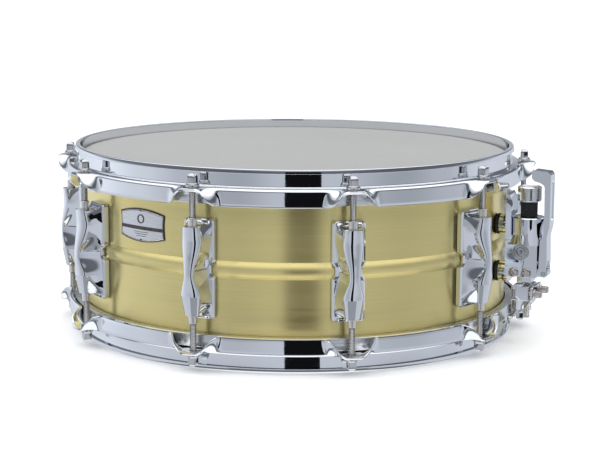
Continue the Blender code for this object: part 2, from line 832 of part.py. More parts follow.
build_shell()
build_vent()
build_badge()
build_head("batter_head", 1)
build_head("snare_side_head", -1)
build_flesh_hoop("batter_flesh_hoop", 1)
build_flesh_hoop("snare_side_flesh_hoop", -1)
build_hoop("batter_hoop", 1)
combine(build_hoop("snare_side_hoop", -1), "DIFFERENCE", gate_cutter())
build_lugs()
build_rods()
build_lever(build_housing())
build_medallion()
build_gaskets()
build_knob()
build_lift()
build_clamps()
build_butt()
build_straps()
build_snare_wires()
for part in drum.objects:
    shade(part)
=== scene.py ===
"""Looks of the snare drum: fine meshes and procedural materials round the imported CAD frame.

Sizes are in millimetres. Heights are measured from the shell's mid-height, +X points at the strainer.
"""

import math

import bmesh
import bpy
import numpy as np
from mathutils import Matrix, Vector


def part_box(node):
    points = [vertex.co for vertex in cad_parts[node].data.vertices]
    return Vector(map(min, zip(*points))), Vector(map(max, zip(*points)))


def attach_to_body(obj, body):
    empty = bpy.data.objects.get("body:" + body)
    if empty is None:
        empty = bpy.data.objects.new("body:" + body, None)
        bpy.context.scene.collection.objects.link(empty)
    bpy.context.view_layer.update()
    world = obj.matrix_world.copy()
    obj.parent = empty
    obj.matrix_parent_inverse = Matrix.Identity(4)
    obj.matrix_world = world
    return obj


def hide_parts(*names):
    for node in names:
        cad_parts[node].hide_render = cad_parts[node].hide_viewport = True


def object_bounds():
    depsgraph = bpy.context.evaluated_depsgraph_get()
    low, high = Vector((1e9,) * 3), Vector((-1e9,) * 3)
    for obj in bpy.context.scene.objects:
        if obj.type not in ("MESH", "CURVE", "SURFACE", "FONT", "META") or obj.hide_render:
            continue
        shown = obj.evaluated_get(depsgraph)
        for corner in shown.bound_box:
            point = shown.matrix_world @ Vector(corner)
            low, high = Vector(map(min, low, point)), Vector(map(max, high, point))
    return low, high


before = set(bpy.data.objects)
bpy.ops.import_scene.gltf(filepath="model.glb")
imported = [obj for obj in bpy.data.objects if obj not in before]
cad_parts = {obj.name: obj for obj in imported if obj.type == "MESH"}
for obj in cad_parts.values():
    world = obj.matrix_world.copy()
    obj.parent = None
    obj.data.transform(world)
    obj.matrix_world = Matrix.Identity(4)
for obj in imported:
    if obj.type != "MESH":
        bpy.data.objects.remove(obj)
CAD_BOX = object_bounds()

MM = 0.001


# ---------------------------------------------------------------- places taken from the frame


def box_mm(node):
    """Lowest and highest corner of a CAD node in millimetres."""
    low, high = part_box(node)
    return low / MM, high / MM


SHELL_LOW, SHELL_HIGH = box_mm("shell")
MID = (SHELL_LOW.z + SHELL_HIGH.z) / 2.0
SHELL_HALF = (SHELL_HIGH.z - SHELL_LOW.z) / 2.0
BEAD_PROUD = 3.0
SHELL_RADIUS = SHELL_HIGH.x - BEAD_PROUD
HEAD_TOP = box_mm("batter_head")[1].z - MID
RIM_TOP = box_mm("batter_hoop")[1].z - MID
LUG_COUNT = 10
FIRST_LUG = 18.0
SECTOR = 360.0 / LUG_COUNT
ROD_CIRCLE = 192.0
ROD_TOP = box_mm("batter_rod_01")[1].z - MID
KNOB_AXIS = (box_mm("knob_cap")[0].x + box_mm("knob_cap")[1].x) / 2.0

SHELL_WALL = 1.2
FILM = 0.3
HOOP_SHEET = 2.3
HOOP_WALL = 181.4
LIP_HEIGHT = 3.3
HOOP_HOLE = 3.3
HOOP_SMOOTH = 42.0
SHOULDER_TOP = 62.8
EAR_HALF = 5.5
FOLD_END = 22.5
BEND_START = 187.6
BEND_RADIUS = 2.4
WASHER_BOTTOM = SHOULDER_TOP + 0.3


# ---------------------------------------------------------------- node helpers for materials


class Nodes:
    """Short calls for building a node tree."""

    def __init__(self, tree):
        self.tree = tree
        self.tree.nodes.clear()

    def add(self, kind, **settings):
        node = self.tree.nodes.new(kind)
        for key, value in settings.items():
            if key in node.inputs:
                node.inputs[key].default_value = value
            else:
                setattr(node, key, value)
        return node

    def link(self, source, target):
        self.tree.links.new(source, target)

    def feed(self, sockets, values):
        """Gives each socket a number, a colour or another node's output."""
        for socket, value in zip(sockets, values):
            if isinstance(value, (int, float)):
                socket.default_value = value
            elif isinstance(value, tuple):
                socket.default_value = (*value, 1.0)
            else:
                self.link(value, socket)

    def math(self, operation, a, b):
        node = self.add("ShaderNodeMath", operation=operation)
        self.feed(node.inputs, (a, b))
        return node.outputs[0]

    def product(self, first, *others):
        for other in others:
            first = self.math("MULTIPLY", first, other)
        return first

    def between(self, value, low, high):
        """1 where low < value < high, otherwise 0."""
        return self.product(self.math("GREATER_THAN", value, low), self.math("LESS_THAN", value, high))

    def mix(self, share, a, b):
        """Colour a where share is 0, colour b where it is 1."""
        node = self.add("ShaderNodeMix", data_type="RGBA")
        self.feed((node.inputs[0], node.inputs[6], node.inputs[7]), (share, a, b))
        return node.outputs[2]

    def ramp(self, value, low, high, out_low=0.0, out_high=1.0):
        """value from low..high mapped smoothly to out_low..out_high."""
        node = self.add("ShaderNodeMapRange", interpolation_type="SMOOTHSTEP")
        self.feed(node.inputs[:5], (value, low, high, out_low, out_high))
        return node.outputs[0]

    def noise(self, vector, scale, detail=3.0, roughness=0.5):
        node = self.add("ShaderNodeTexNoise", Scale=scale, Detail=detail, Roughness=roughness)
        self.link(vector, node.inputs["Vector"])
        return node.outputs["Fac"]

    def vector(self, x, y, z):
        node = self.add("ShaderNodeCombineXYZ")
        self.feed(node.inputs, (x, y, z))
        return node.outputs[0]

    def split(self, vector):
        node = self.add("ShaderNodeSeparateXYZ")
        self.link(vector, node.inputs[0])
        return node.outputs

    def stretched(self, vector, scale):
        node = self.add("ShaderNodeMapping", Scale=scale)
        self.link(vector, node.inputs[0])
        return node.outputs[0]


def new_material(name, metallic):
    """A Principled material, its node helper and its texture space. The caller adds the texture."""
    made = bpy.data.materials.new(name)
    made.use_nodes = True
    nodes = Nodes(made.node_tree)
    shader = nodes.add("ShaderNodeBsdfPrincipled", Metallic=metallic)
    nodes.link(shader.outputs[0], nodes.add("ShaderNodeOutputMaterial").inputs[0])
    place = nodes.add("ShaderNodeTexCoord").outputs["Object"]
    return made, nodes, shader, place


def finish(nodes, shader, tone, roughness, height=None, strength=0.0, distance=0.0):
    """Links a colour, a roughness and, if height is given, a bump to the shader."""
    nodes.link(tone, shader.inputs["Base Color"])
    nodes.link(roughness, shader.inputs["Roughness"])
    if height is None:
        return
    bump = nodes.add("ShaderNodeBump", Strength=strength, Distance=distance)
    nodes.link(height, bump.inputs["Height"])
    nodes.link(bump.outputs[0], shader.inputs["Normal"])


def darker(color, share):
    return tuple(share * part for part in color)


def polished_metal(name, color, roughness, waviness, smudge):
    """Plated metal: faint smudges in its roughness and a very slight waviness."""
    made, nodes, shader, place = new_material(name, 1.0)
    smudges = nodes.ramp(nodes.noise(place, 60.0, 4.0, 0.6), 0.4, 0.8, roughness, roughness + smudge)
    tone = nodes.mix(nodes.noise(place, 25.0, 2.0), color, darker(color, 0.94))
    finish(nodes, shader, tone, smudges, nodes.noise(place, 90.0, 2.0), waviness, 0.001)
    return made


def brushed_brass():
    """Satin brass brushed round the shell: long fine grooves, so reflections spread up and down."""
    made, nodes, shader, place = new_material("satin_brass", 1.0)
    x, y, z = nodes.split(place)
    angle = nodes.math("ARCTAN2", y, x)

    def grooves(length, offset, fineness, detail, roughness):
        spot = nodes.vector(nodes.product(angle, length), offset, nodes.product(z, fineness))
        return nodes.noise(spot, 1.0, detail, roughness)

    fine = grooves(1.6, 0.0, 900.0, 4.0, 0.6)
    coarse = grooves(0.7, 2.0, 160.0, 3.0, 0.55)
    streaks = nodes.math("ADD", nodes.product(fine, 0.6), nodes.product(coarse, 0.4))
    tone = nodes.mix(nodes.ramp(streaks, 0.3, 0.7), (0.93, 0.79, 0.335), (1.0, 0.865, 0.41))
    cloud = nodes.ramp(nodes.noise(place, 9.0, 3.0, 0.5), 0.45, 0.75, 0.0, 0.25)
    tone = nodes.mix(cloud, tone, (0.95, 0.83, 0.40))
    finish(nodes, shader, tone, nodes.ramp(streaks, 0.25, 0.75, 0.29, 0.35), fine, 0.03, 0.0003)
    shader.inputs["Anisotropic"].default_value = 0.95
    shader.inputs["Anisotropic Rotation"].default_value = 0.25
    tangent = nodes.add("ShaderNodeTangent", direction_type="RADIAL", axis="Z")
    nodes.link(tangent.outputs[0], shader.inputs["Tangent"])
    return made


def drum_film(name, color, spread, roughness=0.55):
    """Drum film with a sprayed coating: a fine pebble and broad faint clouds."""
    made, nodes, shader, place = new_material(name, 0.0)
    cloud = nodes.ramp(nodes.noise(place, 7.0, 4.0, 0.55), 0.3, 0.7)
    grain = nodes.noise(place, 900.0, 2.0, 0.6)
    tone = nodes.mix(cloud, color, darker(color, spread))
    tone = nodes.mix(nodes.ramp(grain, 0.35, 0.7, 0.0, 0.12), tone, darker(color, 0.85))
    uneven = nodes.ramp(grain, 0.3, 0.7, roughness - 0.08, roughness + 0.08)
    finish(nodes, shader, tone, uneven, grain, 0.12, 0.0003)
    return made


def satin_metal(name, color, roughness, stretch):
    """Metal with a fine grain along one axis; stretch holds the grain's scale along X, Y and Z."""
    made, nodes, shader, place = new_material(name, 1.0)
    grain = nodes.noise(nodes.stretched(place, stretch), 1.0, 3.0, 0.6)
    tone = nodes.mix(nodes.ramp(grain, 0.3, 0.7), color, darker(color, 0.86))
    uneven = nodes.ramp(grain, 0.3, 0.7, roughness - 0.05, roughness + 0.06)
    finish(nodes, shader, tone, uneven, grain, 0.08, 0.0003)
    return made


def rubber():
    made, nodes, shader, place = new_material("black_rubber", 0.0)
    grain = nodes.noise(place, 1400.0, 3.0, 0.6)
    tone = nodes.mix(nodes.ramp(grain, 0.35, 0.7), (0.010, 0.010, 0.012), (0.028, 0.028, 0.032))
    worn = nodes.ramp(nodes.noise(place, 120.0), 0.3, 0.7, 0.5, 0.72)
    finish(nodes, shader, tone, worn, grain, 0.25, 0.0002)
    return made


def strap_plastic():
    """Milky, slightly translucent plastic with faint lengthwise drawing lines."""
    made, nodes, shader, place = new_material("strap_plastic", 0.0)
    shader.inputs["Transmission Weight"].default_value = 0.35
    shader.inputs["IOR"].default_value = 1.46
    lines = nodes.noise(nodes.stretched(place, (20.0, 1600.0, 20.0)), 1.0, 2.0)
    tone = nodes.mix(nodes.ramp(lines, 0.35, 0.7), (0.88, 0.89, 0.83), (0.78, 0.79, 0.70))
    finish(nodes, shader, tone, nodes.ramp(lines, 0.3, 0.7, 0.22, 0.4), lines, 0.1, 0.0002)
    return made


def dark_paint():
    """Dark fill in the badge's grooves, slightly uneven."""
    made, nodes, shader, place = new_material("dark_fill", 0.2)
    mottle = nodes.noise(place, 700.0, 3.0)
    tone = nodes.mix(nodes.ramp(mottle, 0.3, 0.7), (0.035, 0.03, 0.035), (0.08, 0.07, 0.08))
    finish(nodes, shader, tone, nodes.ramp(mottle, 0.3, 0.7, 0.38, 0.55))
    return made


CHROME = polished_metal("chrome", (0.86, 0.88, 0.91), 0.03, 0.012, 0.04)
NUT_METAL = polished_metal("nut_nickel", (0.92, 0.89, 0.84), 0.3, 0.04, 0.08)
ROD_METAL = polished_metal("rod_steel", (0.42, 0.42, 0.43), 0.2, 0.05, 0.1)
STEEL = polished_metal("plated_steel", (0.66, 0.66, 0.67), 0.12, 0.03, 0.08)
SCREW_METAL = polished_metal("screw_steel", (0.74, 0.68, 0.64), 0.14, 0.03, 0.08)
BRASS = brushed_brass()
ALUMINIUM = satin_metal("aluminium", (0.80, 0.81, 0.82), 0.24, (30.0, 30.0, 1500.0))
KNOB_METAL = satin_metal("knob_metal", (0.80, 0.81, 0.83), 0.22, (40.0, 40.0, 2200.0))
BADGE_METAL = satin_metal("badge_silver", (0.80, 0.80, 0.81), 0.3, (60.0, 60.0, 2400.0))
WIRE_STEEL = satin_metal("snare_wire", (0.70, 0.70, 0.71), 0.22, (900.0, 900.0, 900.0))
END_PLATE = satin_metal("end_plate_copper", (0.78, 0.55, 0.38), 0.26, (1500.0, 40.0, 40.0))
COATED = drum_film("coated_film", (0.37, 0.368, 0.363), 0.96)
CLEAR_FILM = drum_film("hazy_film", (0.74, 0.74, 0.71), 0.97, 0.35)
RUBBER = rubber()
STRAP_MATERIAL = strap_plastic()
DARK = dark_paint()


# ---------------------------------------------------------------- mesh helpers


def piece(name, bm, material, body, replaces=(), smooth=35.0, place=None):
    """Links a mesh given in millimetres from mid-height, and rides it on a CAD body."""
    bmesh.ops.scale(bm, vec=(MM, MM, MM), verts=bm.verts)
    mesh = bpy.data.meshes.new(name)
    bm.to_mesh(mesh)
    bm.free()
    mesh.materials.append(material)
    mesh.shade_smooth()
    mesh.set_sharp_from_angle(angle=math.radians(smooth))
    return attach(name, mesh, body, replaces, place)


def attach(name, mesh, body, replaces=(), place=None):
    obj = bpy.data.objects.new(name, mesh)
    bpy.context.scene.collection.objects.link(obj)
    obj.matrix_world = shift(z=MID) @ (place or Matrix())
    if body:
        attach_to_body(obj, body)
    if replaces:
        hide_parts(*replaces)
    return obj


def bevel(obj, width, segments=2, angle=30.0):
    """Rounds every edge sharper than angle."""
    edge = obj.modifiers.new("round", "BEVEL")
    edge.width = width * MM
    edge.segments = segments
    edge.limit_method = "ANGLE"
    edge.angle_limit = math.radians(angle)
    edge.miter_outer = "MITER_ARC"
    edge.use_clamp_overlap = True
    return obj


def cut(obj, *tools, operation="DIFFERENCE", overlapping=False):
    """Boolean with each tool. overlapping is for a tool mesh whose own parts run into each other."""
    for tool in tools:
        boolean = obj.modifiers.new(tool.name, "BOOLEAN")
        boolean.operation = operation
        boolean.solver = "EXACT"
        boolean.use_self = overlapping
        boolean.object = tool
    return obj


def mark_sharp(obj, angle):
    obj.data.set_sharp_from_angle(angle=math.radians(angle))


def bake(obj, *tools):
    """Applies every modifier and removes the tool objects."""
    bpy.context.view_layer.update()
    graph = bpy.context.evaluated_depsgraph_get()
    mesh = bpy.data.meshes.new_from_object(obj.evaluated_get(graph))
    obj.modifiers.clear()
    obj.data = mesh
    for tool in tools:
        bpy.data.objects.remove(tool)
    return obj


def flatten(obj, smooth=35.0):
    """Marks edges sharper than smooth and lets the largest face at a corner set its normal."""
    obj.data.shade_smooth()
    mark_sharp(obj, smooth)
    weigh = obj.modifiers.new("weigh", "WEIGHTED_NORMAL")
    weigh.keep_sharp = True
    weigh.weight = 60
    return bake(obj)


def settle(obj, body, slot, *replaces, smooth=35.0, material=None, turn=0.0):
    """Turns a finished tool mesh into a visible piece, turned round the drum's axis."""
    obj.hide_render = False
    if material:
        obj.data.materials.clear()
        obj.data.materials.append(material)
    obj.matrix_world = obj.matrix_world @ spin(turn)
    flatten(obj, smooth)
    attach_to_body(obj, body)
    if replaces:
        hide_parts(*replaces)
    return obj


def tool(name, bm):
    """A mesh used only for cutting or joining, placed like a piece."""
    obj = piece(name, bm, CHROME, None)
    obj.hide_render = True
    return obj


def mesh_tool(name, maker):
    bm = bmesh.new()
    maker(bm)
    return tool(name, bm)


def carved(name, maker, adds=(), cuts=(), edge=(), overlapping=False):
    """Solid from maker(bm), with the solids of adds joined on and those of cuts taken away.

    edge holds bevel's width, segments and angle.
    """
    body = mesh_tool(name, maker)
    joined = [mesh_tool("joined", make) for make in adds]
    removed = [mesh_tool("removed", make) for make in cuts]
    cut(body, *joined, operation="UNION", overlapping=overlapping)
    cut(body, *removed, overlapping=overlapping)
    if edge:
        bevel(body, *edge)
    return bake(body, *joined, *removed)


def mesh_of(pattern):
    """The mesh of an object that served only to make it."""
    mesh = pattern.data
    bpy.data.objects.remove(pattern)
    return mesh


TURNS = {
    "X": Matrix.Rotation(math.pi / 2.0, 4, "Y"),
    "Y": Matrix.Rotation(-math.pi / 2.0, 4, "X"),
    "-Y": Matrix.Rotation(math.pi / 2.0, 4, "X"),
    "Z": Matrix.Identity(4),
}


def turn_into(bm, profile, steps, place=None, ripple=None):
    """Revolves (radius, height) pairs about Z. Ends on the axis close with a fan.

    ripple(angle, radius, height) may change the radius of each point.
    """
    rings = []
    for radius, height in profile:
        if radius < 1e-6:
            rings.append([bm.verts.new((0.0, 0.0, height))])
            continue
        ring = []
        for step in range(steps):
            angle = math.tau * step / steps
            out = ripple(angle, radius, height) if ripple else radius
            ring.append(bm.verts.new((out * math.cos(angle), out * math.sin(angle), height)))
        rings.append(ring)
    if len(profile) > 2 and profile[0] == profile[-1]:
        for vert in rings[-1]:
            bm.verts.remove(vert)
        rings[-1] = rings[0]
    for upper, lower in zip(rings, rings[1:]):
        for step in range(steps):
            after = (step + 1) % steps
            if len(upper) == 1 and len(lower) == 1:
                continue
            if len(upper) == 1:
                bm.faces.new((upper[0], lower[step], lower[after]))
            elif len(lower) == 1:
                bm.faces.new((upper[step], lower[0], upper[after]))
            else:
                bm.faces.new((upper[step], lower[step], lower[after], upper[after]))
    if place:
        seen = {vert for ring in rings for vert in ring}
        bmesh.ops.transform(bm, matrix=place, verts=list(seen))


def turned(name, profile, steps, material, body, slot, replaces=(), place=None, ripple=None, smooth=35.0):
    bm = bmesh.new()
    turn_into(bm, profile, steps, None, ripple)
    return piece(name, bm, material, body, replaces, smooth, place)


def rounded(points, radii, steps=4, closed=True):
    """Rounds the corners of a 2D outline. radii is one number or one per point."""
    if isinstance(radii, (int, float)):
        radii = [radii] * len(points)
    out = []
    count = len(points)
    for i, (point, radius) in enumerate(zip(points, radii)):
        here = Vector(point)
        if radius <= 0.0 or (not closed and i in (0, count - 1)):
            out.append(tuple(here))
            continue
        to_last = Vector(points[i - 1]) - here
        to_next = Vector(points[(i + 1) % count]) - here
        half = to_last.angle(to_next) / 2.0
        reach = min(radius / math.tan(half), 0.49 * to_last.length, 0.49 * to_next.length)
        start = here + to_last.normalized() * reach
        end = here + to_next.normalized() * reach
        for step in range(steps + 1):
            t = step / steps
            out.append(tuple(start.lerp(here, t).lerp(here.lerp(end, t), t)))
    return out


def ring_profile(points, radii):
    """A rounded outline that ends where it began, for a turned ring."""
    line = rounded(points, radii)
    return line + line[:1]


def rectangle(left, bottom, right, top, radii=0.0, steps=4):
    """Outline with rounded corners, lower left corner first, then lower right."""
    return rounded([(left, bottom), (right, bottom), (right, top), (left, top)], radii, steps)


def loft_into(bm, loops, ring=False):
    """Skins equal-length loops of points and caps the ends. ring joins the last loop to the first."""
    rows = [[bm.verts.new(point) for point in loop] for loop in loops]
    pairs = list(zip(rows, rows[1:] + rows[:1])) if ring else list(zip(rows, rows[1:]))
    count = len(rows[0])
    for lower, upper in pairs:
        for i in range(count):
            j = (i + 1) % count
            bm.faces.new((lower[i], lower[j], upper[j], upper[i]))
    if not ring:
        bm.faces.new(list(reversed(rows[0])))
        bm.faces.new(rows[-1])
    bmesh.ops.recalc_face_normals(bm, faces=bm.faces)


def prism_into(bm, outline, low, high, axis="Y"):
    """Extrudes a 2D outline. For axis Y the outline is in X and Z, for X in Y and Z, for Z in X and Y."""
    spots = {"X": lambda a, b, t: (t, a, b), "Y": lambda a, b, t: (a, t, b), "Z": lambda a, b, t: (a, b, t)}
    spot = spots[axis]
    part = bmesh.new()
    loft_into(part, [[spot(a, b, low) for a, b in outline], [spot(a, b, high) for a, b in outline]])
    add_into(bm, part)


def add_into(bm, part):
    """Moves the faces of part into bm."""
    spare = bpy.data.meshes.new("spare")
    part.to_mesh(spare)
    part.free()
    bm.from_mesh(spare)
    bpy.data.meshes.remove(spare)


def disc_into(bm, axis, spot, low, high, radius, steps=32):
    """A plain round plug along an axis, centred on spot across it."""
    profile = [(0.0, high), (radius, high), (radius, low), (0.0, low)]
    turn_into(bm, profile, steps, Matrix.Translation(spot) @ TURNS[axis])


def block_into(bm, low, high):
    low, high = Vector(low), Vector(high)
    place = Matrix.Translation((low + high) / 2) @ Matrix.Diagonal((*(high - low), 1.0))
    bmesh.ops.create_cube(bm, size=1.0, matrix=place)


def shift(x=0.0, y=0.0, z=0.0):
    """A placement in metres, from millimetres."""
    return Matrix.Translation((x * MM, y * MM, z * MM))


def along(axis, x=0.0, y=0.0, z=0.0):
    """A placement in metres that lays a turned shape's own Z along a world axis."""
    return shift(x, y, z) @ TURNS[axis]


def spin(angle):
    return Matrix.Rotation(math.radians(angle), 4, "Z")


def polar(radius, angle, z):
    turn = math.radians(angle)
    return (radius * math.cos(turn), radius * math.sin(turn), z)


def smoothstep(value, low, high):
    share = min(max((value - low) / (high - low), 0.0), 1.0)
    return share * share * (3.0 - 2.0 * share)


def lug_angles():
    return [FIRST_LUG + SECTOR * i for i in range(LUG_COUNT)]


# ---------------------------------------------------------------- shell, vent and badge

FINE = 360
SNARE_BED_HALF = 30.0
SNARE_BED_DEPTH = 2.0
VENT_RADIUS = 5.2


def bead_height(z):
    """How far the rolled bead stands out at a height: an arc with small fillets at its edges."""
    radius = (6.3**2 + BEAD_PROUD**2) / (2.0 * BEAD_PROUD)
    arc = math.sqrt(max(radius**2 - z * z, 0.0)) - (radius - BEAD_PROUD)
    return 0.5 * (arc + math.sqrt(arc * arc + 0.03)) - 0.003


def shell_outline():
    """Outer side, top to bottom: turned-in edge, crest, wall, bead, wall, crest, edge."""
    inset = ((4.4, 1.7), (2.1, 0.0), (1.2, 0.0), (0.0, 2.2), (0.0, 8.0))
    edge = rounded([(SHELL_RADIUS - inward, SHELL_HALF - down) for inward, down in inset], 1.0, closed=False)
    bead = [(SHELL_RADIUS + bead_height(z), z) for z in np.linspace(9.0, -9.0, 49)]
    return edge + bead + [(radius, -height) for radius, height in reversed(edge)]


def inner_side(line, thickness):
    """A line moved inwards along its own normals."""
    moved = []
    for i, (radius, height) in enumerate(line):
        before = Vector(line[max(i - 1, 0)])
        after = Vector(line[min(i + 1, len(line) - 1)])
        run = (after - before).normalized()
        moved.append((radius + run.y * thickness, height - run.x * thickness))
    return moved


def build_shell():
    outer = shell_outline()
    profile = outer + list(reversed(inner_side(outer, SHELL_WALL)))
    profile.append(profile[0])
    bm = bmesh.new()
    turn_into(bm, profile, FINE)
    for vert in bm.verts:
        bed = smoothstep(SNARE_BED_HALF - abs(vert.co.y), 0.0, 24.0)
        low = smoothstep(-vert.co.z, SHELL_HALF - 6.0, SHELL_HALF - 1.0)
        vert.co.z += SNARE_BED_DEPTH * bed * low
    shell = piece("shell_brass", bm, BRASS, "drum", ["shell"], 50.0)
    low, high = box_mm("vent_grommet")
    middle = (low + high) / 2.0
    angle = math.degrees(math.atan2(middle.y, middle.x))
    cutter = mesh_tool("vent_cutter", lambda bm: disc_into(bm, "Z", (0.0, 0.0, 0.0), -8.0, 8.0, VENT_RADIUS))
    place = spin(angle) @ along("X", SHELL_RADIUS, 0.0, middle.z - MID)
    cutter.matrix_world = shift(z=MID) @ place
    bake(cut(shell, cutter), cutter)
    mark_sharp(shell, 50.0)
    flange = [(3.6, 1.5), (7.4, 1.2), (7.4, 0.32), (4.8, 0.32)]
    rolled_back = [(4.8, -2.3), (7.0, -2.3), (7.0, -3.4), (3.6, -3.4)]
    eyelet = ring_profile(flange + rolled_back, [0.9, 0.5, 0.05, 0.1, 0.1, 0.1, 0.4, 0.4])
    turned("vent_eyelet", eyelet, 48, CHROME, "drum", "chrome", ["vent_grommet"], place)


def on_shell(angle, across, height, out):
    """A point out from the shell's wall, across millimetres round it from angle."""
    turn = math.radians(angle) + across / SHELL_RADIUS
    radius = SHELL_RADIUS + out
    return (radius * math.cos(turn), radius * math.sin(turn), height)


def badge_plate(name, shape, out, thickness=0.3, material=DARK):
    """A thin plate bent round the shell. shape(u, v) maps a unit square to across and height."""
    low, high = box_mm("badge")
    angle = math.degrees(math.atan2(low.y + high.y, low.x + high.x))
    middle = (low.z + high.z) / 2.0 - MID
    columns, rows = 40, 14
    bm = bmesh.new()
    grid = []
    for i in range(columns + 1):
        line = []
        for j in range(rows + 1):
            across, up = shape(2.0 * i / columns - 1.0, 2.0 * j / rows - 1.0)
            line.append(bm.verts.new(on_shell(angle, across, middle + up, out)))
        grid.append(line)
    for left, right in zip(grid, grid[1:]):
        for j in range(rows):
            bm.faces.new((left[j], right[j], right[j + 1], left[j + 1]))
    obj = piece(name, bm, material, "drum")
    solid = obj.modifiers.new("thickness", "SOLIDIFY")
    solid.thickness = thickness * MM
    solid.offset = -1.0
    return obj


BADGE_HALF_WIDTH = 23.9
BADGE_HALF_HEIGHT = 12.9


def badge_outline(u, v, inset=0.0):
    """Sides pinched in a little at mid-height, top and bottom arched."""
    tall = BADGE_HALF_HEIGHT - inset - 3.5 * u * u
    up = v * tall
    side = BADGE_HALF_WIDTH - inset - 0.9 * math.cos(math.pi * up / (2.0 * BADGE_HALF_HEIGHT)) ** 2
    return u * side, up


def badge_bar(half_width, height, half_height):
    """A level strip on the badge."""
    return lambda u, v: (half_width * u, height + half_height * v)


def badge_circle(radius, width, up):
    """A thin ring on the badge."""

    def shape(u, v):
        reach = radius + width * v
        return reach * math.cos(math.pi * u), up + reach * math.sin(math.pi * u)

    return shape


def build_badge():
    rim = badge_plate("badge_rim", badge_outline, 0.75, 0.42)
    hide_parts("badge")
    badge_plate("badge_face", lambda u, v: badge_outline(u, v, 0.75), 0.98, 0.4, BADGE_METAL)
    badge_plate("badge_band", badge_bar(BADGE_HALF_WIDTH - 1.75, -2.1, 1.35), 1.06)
    for name, side in (("top", 1.0), ("bottom", -1.0)):
        badge_plate("badge_notch_" + name, badge_bar(0.9, side * (BADGE_HALF_HEIGHT - 1.7), 0.55), 1.04)
    badge_plate("badge_ring", badge_circle(3.1, 0.38, 4.9), 1.05)
    for row in range(3):
        badge_plate(f"badge_line_{row + 1}", badge_bar(8.0 - 1.4 * row, -5.2 - 1.6 * row, 0.2), 1.03)


# ---------------------------------------------------------------- heads and hoops


def flipped(profile):
    return [(radius, -height) for radius, height in reversed(profile)]


def build_heads():
    collar = SHELL_RADIUS + 0.3 + FILM
    corners = [(0.0, HEAD_TOP), (SHELL_RADIUS - 1.0, HEAD_TOP), (collar, HEAD_TOP - 2.8), (collar, 56.0)]
    outer = rounded(corners, [0.0, 2.2, 2.0, 0.0], 6, closed=False)
    outer[1:1] = [(radius, HEAD_TOP) for radius in (30.0, 70.0, 110.0, 140.0, 160.0, 170.0)]
    inner = inner_side(outer, FILM)
    inner[0] = (0.0, HEAD_TOP - FILM)
    profile = outer + list(reversed(inner))
    for name, points, material, slot in (
        ("batter_head", profile, COATED, "coated_film"),
        ("snare_side_head", flipped(profile), CLEAR_FILM, "clear_film"),
    ):
        turned(name + "_film", points, FINE, material, "drum", slot, [name])
    ring = ring_profile([(178.98, 60.0), (185.3, 60.0), (185.3, 49.6), (178.98, 49.6)], [0.4, 1.4, 1.0, 0.4])
    for name, points in (("batter_flesh_hoop", ring), ("snare_side_flesh_hoop", flipped(ring))):
        turned(name + "_ring", points, FINE, ALUMINIUM, "drum", "aluminium", [name])


def hoop_line(across):
    """The hoop's outer side at a distance round the drum from a rod, as (radius, height) pairs.

    The outer band is a skirt between rods and folds out flat as an ear at a rod.
    """
    share = smoothstep(abs(across), EAR_HALF, FOLD_END)
    fold = max(share * math.pi / 2.0, 0.001)
    bend_length = BEND_RADIUS * math.pi / 2.0
    curve = bend_length / fold
    notch = smoothstep(abs(across), 3.5, 12.0) * (1.0 - smoothstep(abs(across), 9.0, 12.0))
    band = 9.1 + 1.3 * share - 1.6 * notch
    bend = []
    for step in range(1, 7):
        turn = fold * step / 6.0
        bend.append((BEND_START + curve * math.sin(turn), SHOULDER_TOP - curve * (1.0 - math.cos(turn))))
    last = Vector(bend[-1])
    run = Vector((math.cos(fold), -math.sin(fold)))
    band_points = [tuple(last + run * band * step / 6.0) for step in range(1, 7)]
    wall = rounded(
        [(HOOP_WALL, RIM_TOP - LIP_HEIGHT), (HOOP_WALL, SHOULDER_TOP), (BEND_START, SHOULDER_TOP)],
        [0.0, 1.3, 0.0],
        6,
        closed=False,
    )
    return wall + bend + band_points


def hoop_lip():
    """Flat-topped lip from the inner side of the wall out to a face that leans in at its top."""
    bottom = RIM_TOP - LIP_HEIGHT
    inner = HOOP_WALL - HOOP_SHEET
    corners = [(inner, bottom), (inner, RIM_TOP), (182.9, RIM_TOP), (183.75, bottom), (HOOP_WALL, bottom)]
    return rounded(corners, [0.0, 0.5, 0.7, 0.3, 0.0], 4, closed=False)[1:-1]


def hoop_section(across):
    """Closed section of the hoop: outer side, round nose at the free edge, inner side and lip."""
    outer = hoop_line(across)
    inner = inner_side(outer, HOOP_SHEET)
    centre = (Vector(outer[-1]) + Vector(inner[-1])) / 2.0
    arm = Vector(outer[-1]) - centre
    run = (Vector(outer[-1]) - Vector(outer[-2])).normalized() * HOOP_SHEET / 2.0
    nose = []
    for step in (1, 2, 3):
        turn = math.pi * step / 4.0
        nose.append(tuple(centre + arm * math.cos(turn) + run * math.sin(turn)))
    return outer + nose + list(reversed(inner)) + hoop_lip()


def hoop_offsets():
    """Degrees from a rod at which the hoop gets a section: close together where it folds."""
    near = [0.5 * step for step in range(-18, 19)]
    far = [10.5 + 1.5 * step for step in range(11)]
    return near + far


def hoop_mesh(side):
    loops = []
    for angle in lug_angles():
        for offset in hoop_offsets():
            folded = offset if offset <= SECTOR / 2.0 else offset - SECTOR
            section = hoop_section(math.radians(folded) * ROD_CIRCLE)
            loops.append([polar(radius, angle + offset, side * height) for radius, height in section])
    bm = bmesh.new()
    loft_into(bm, loops, ring=True)
    return bm


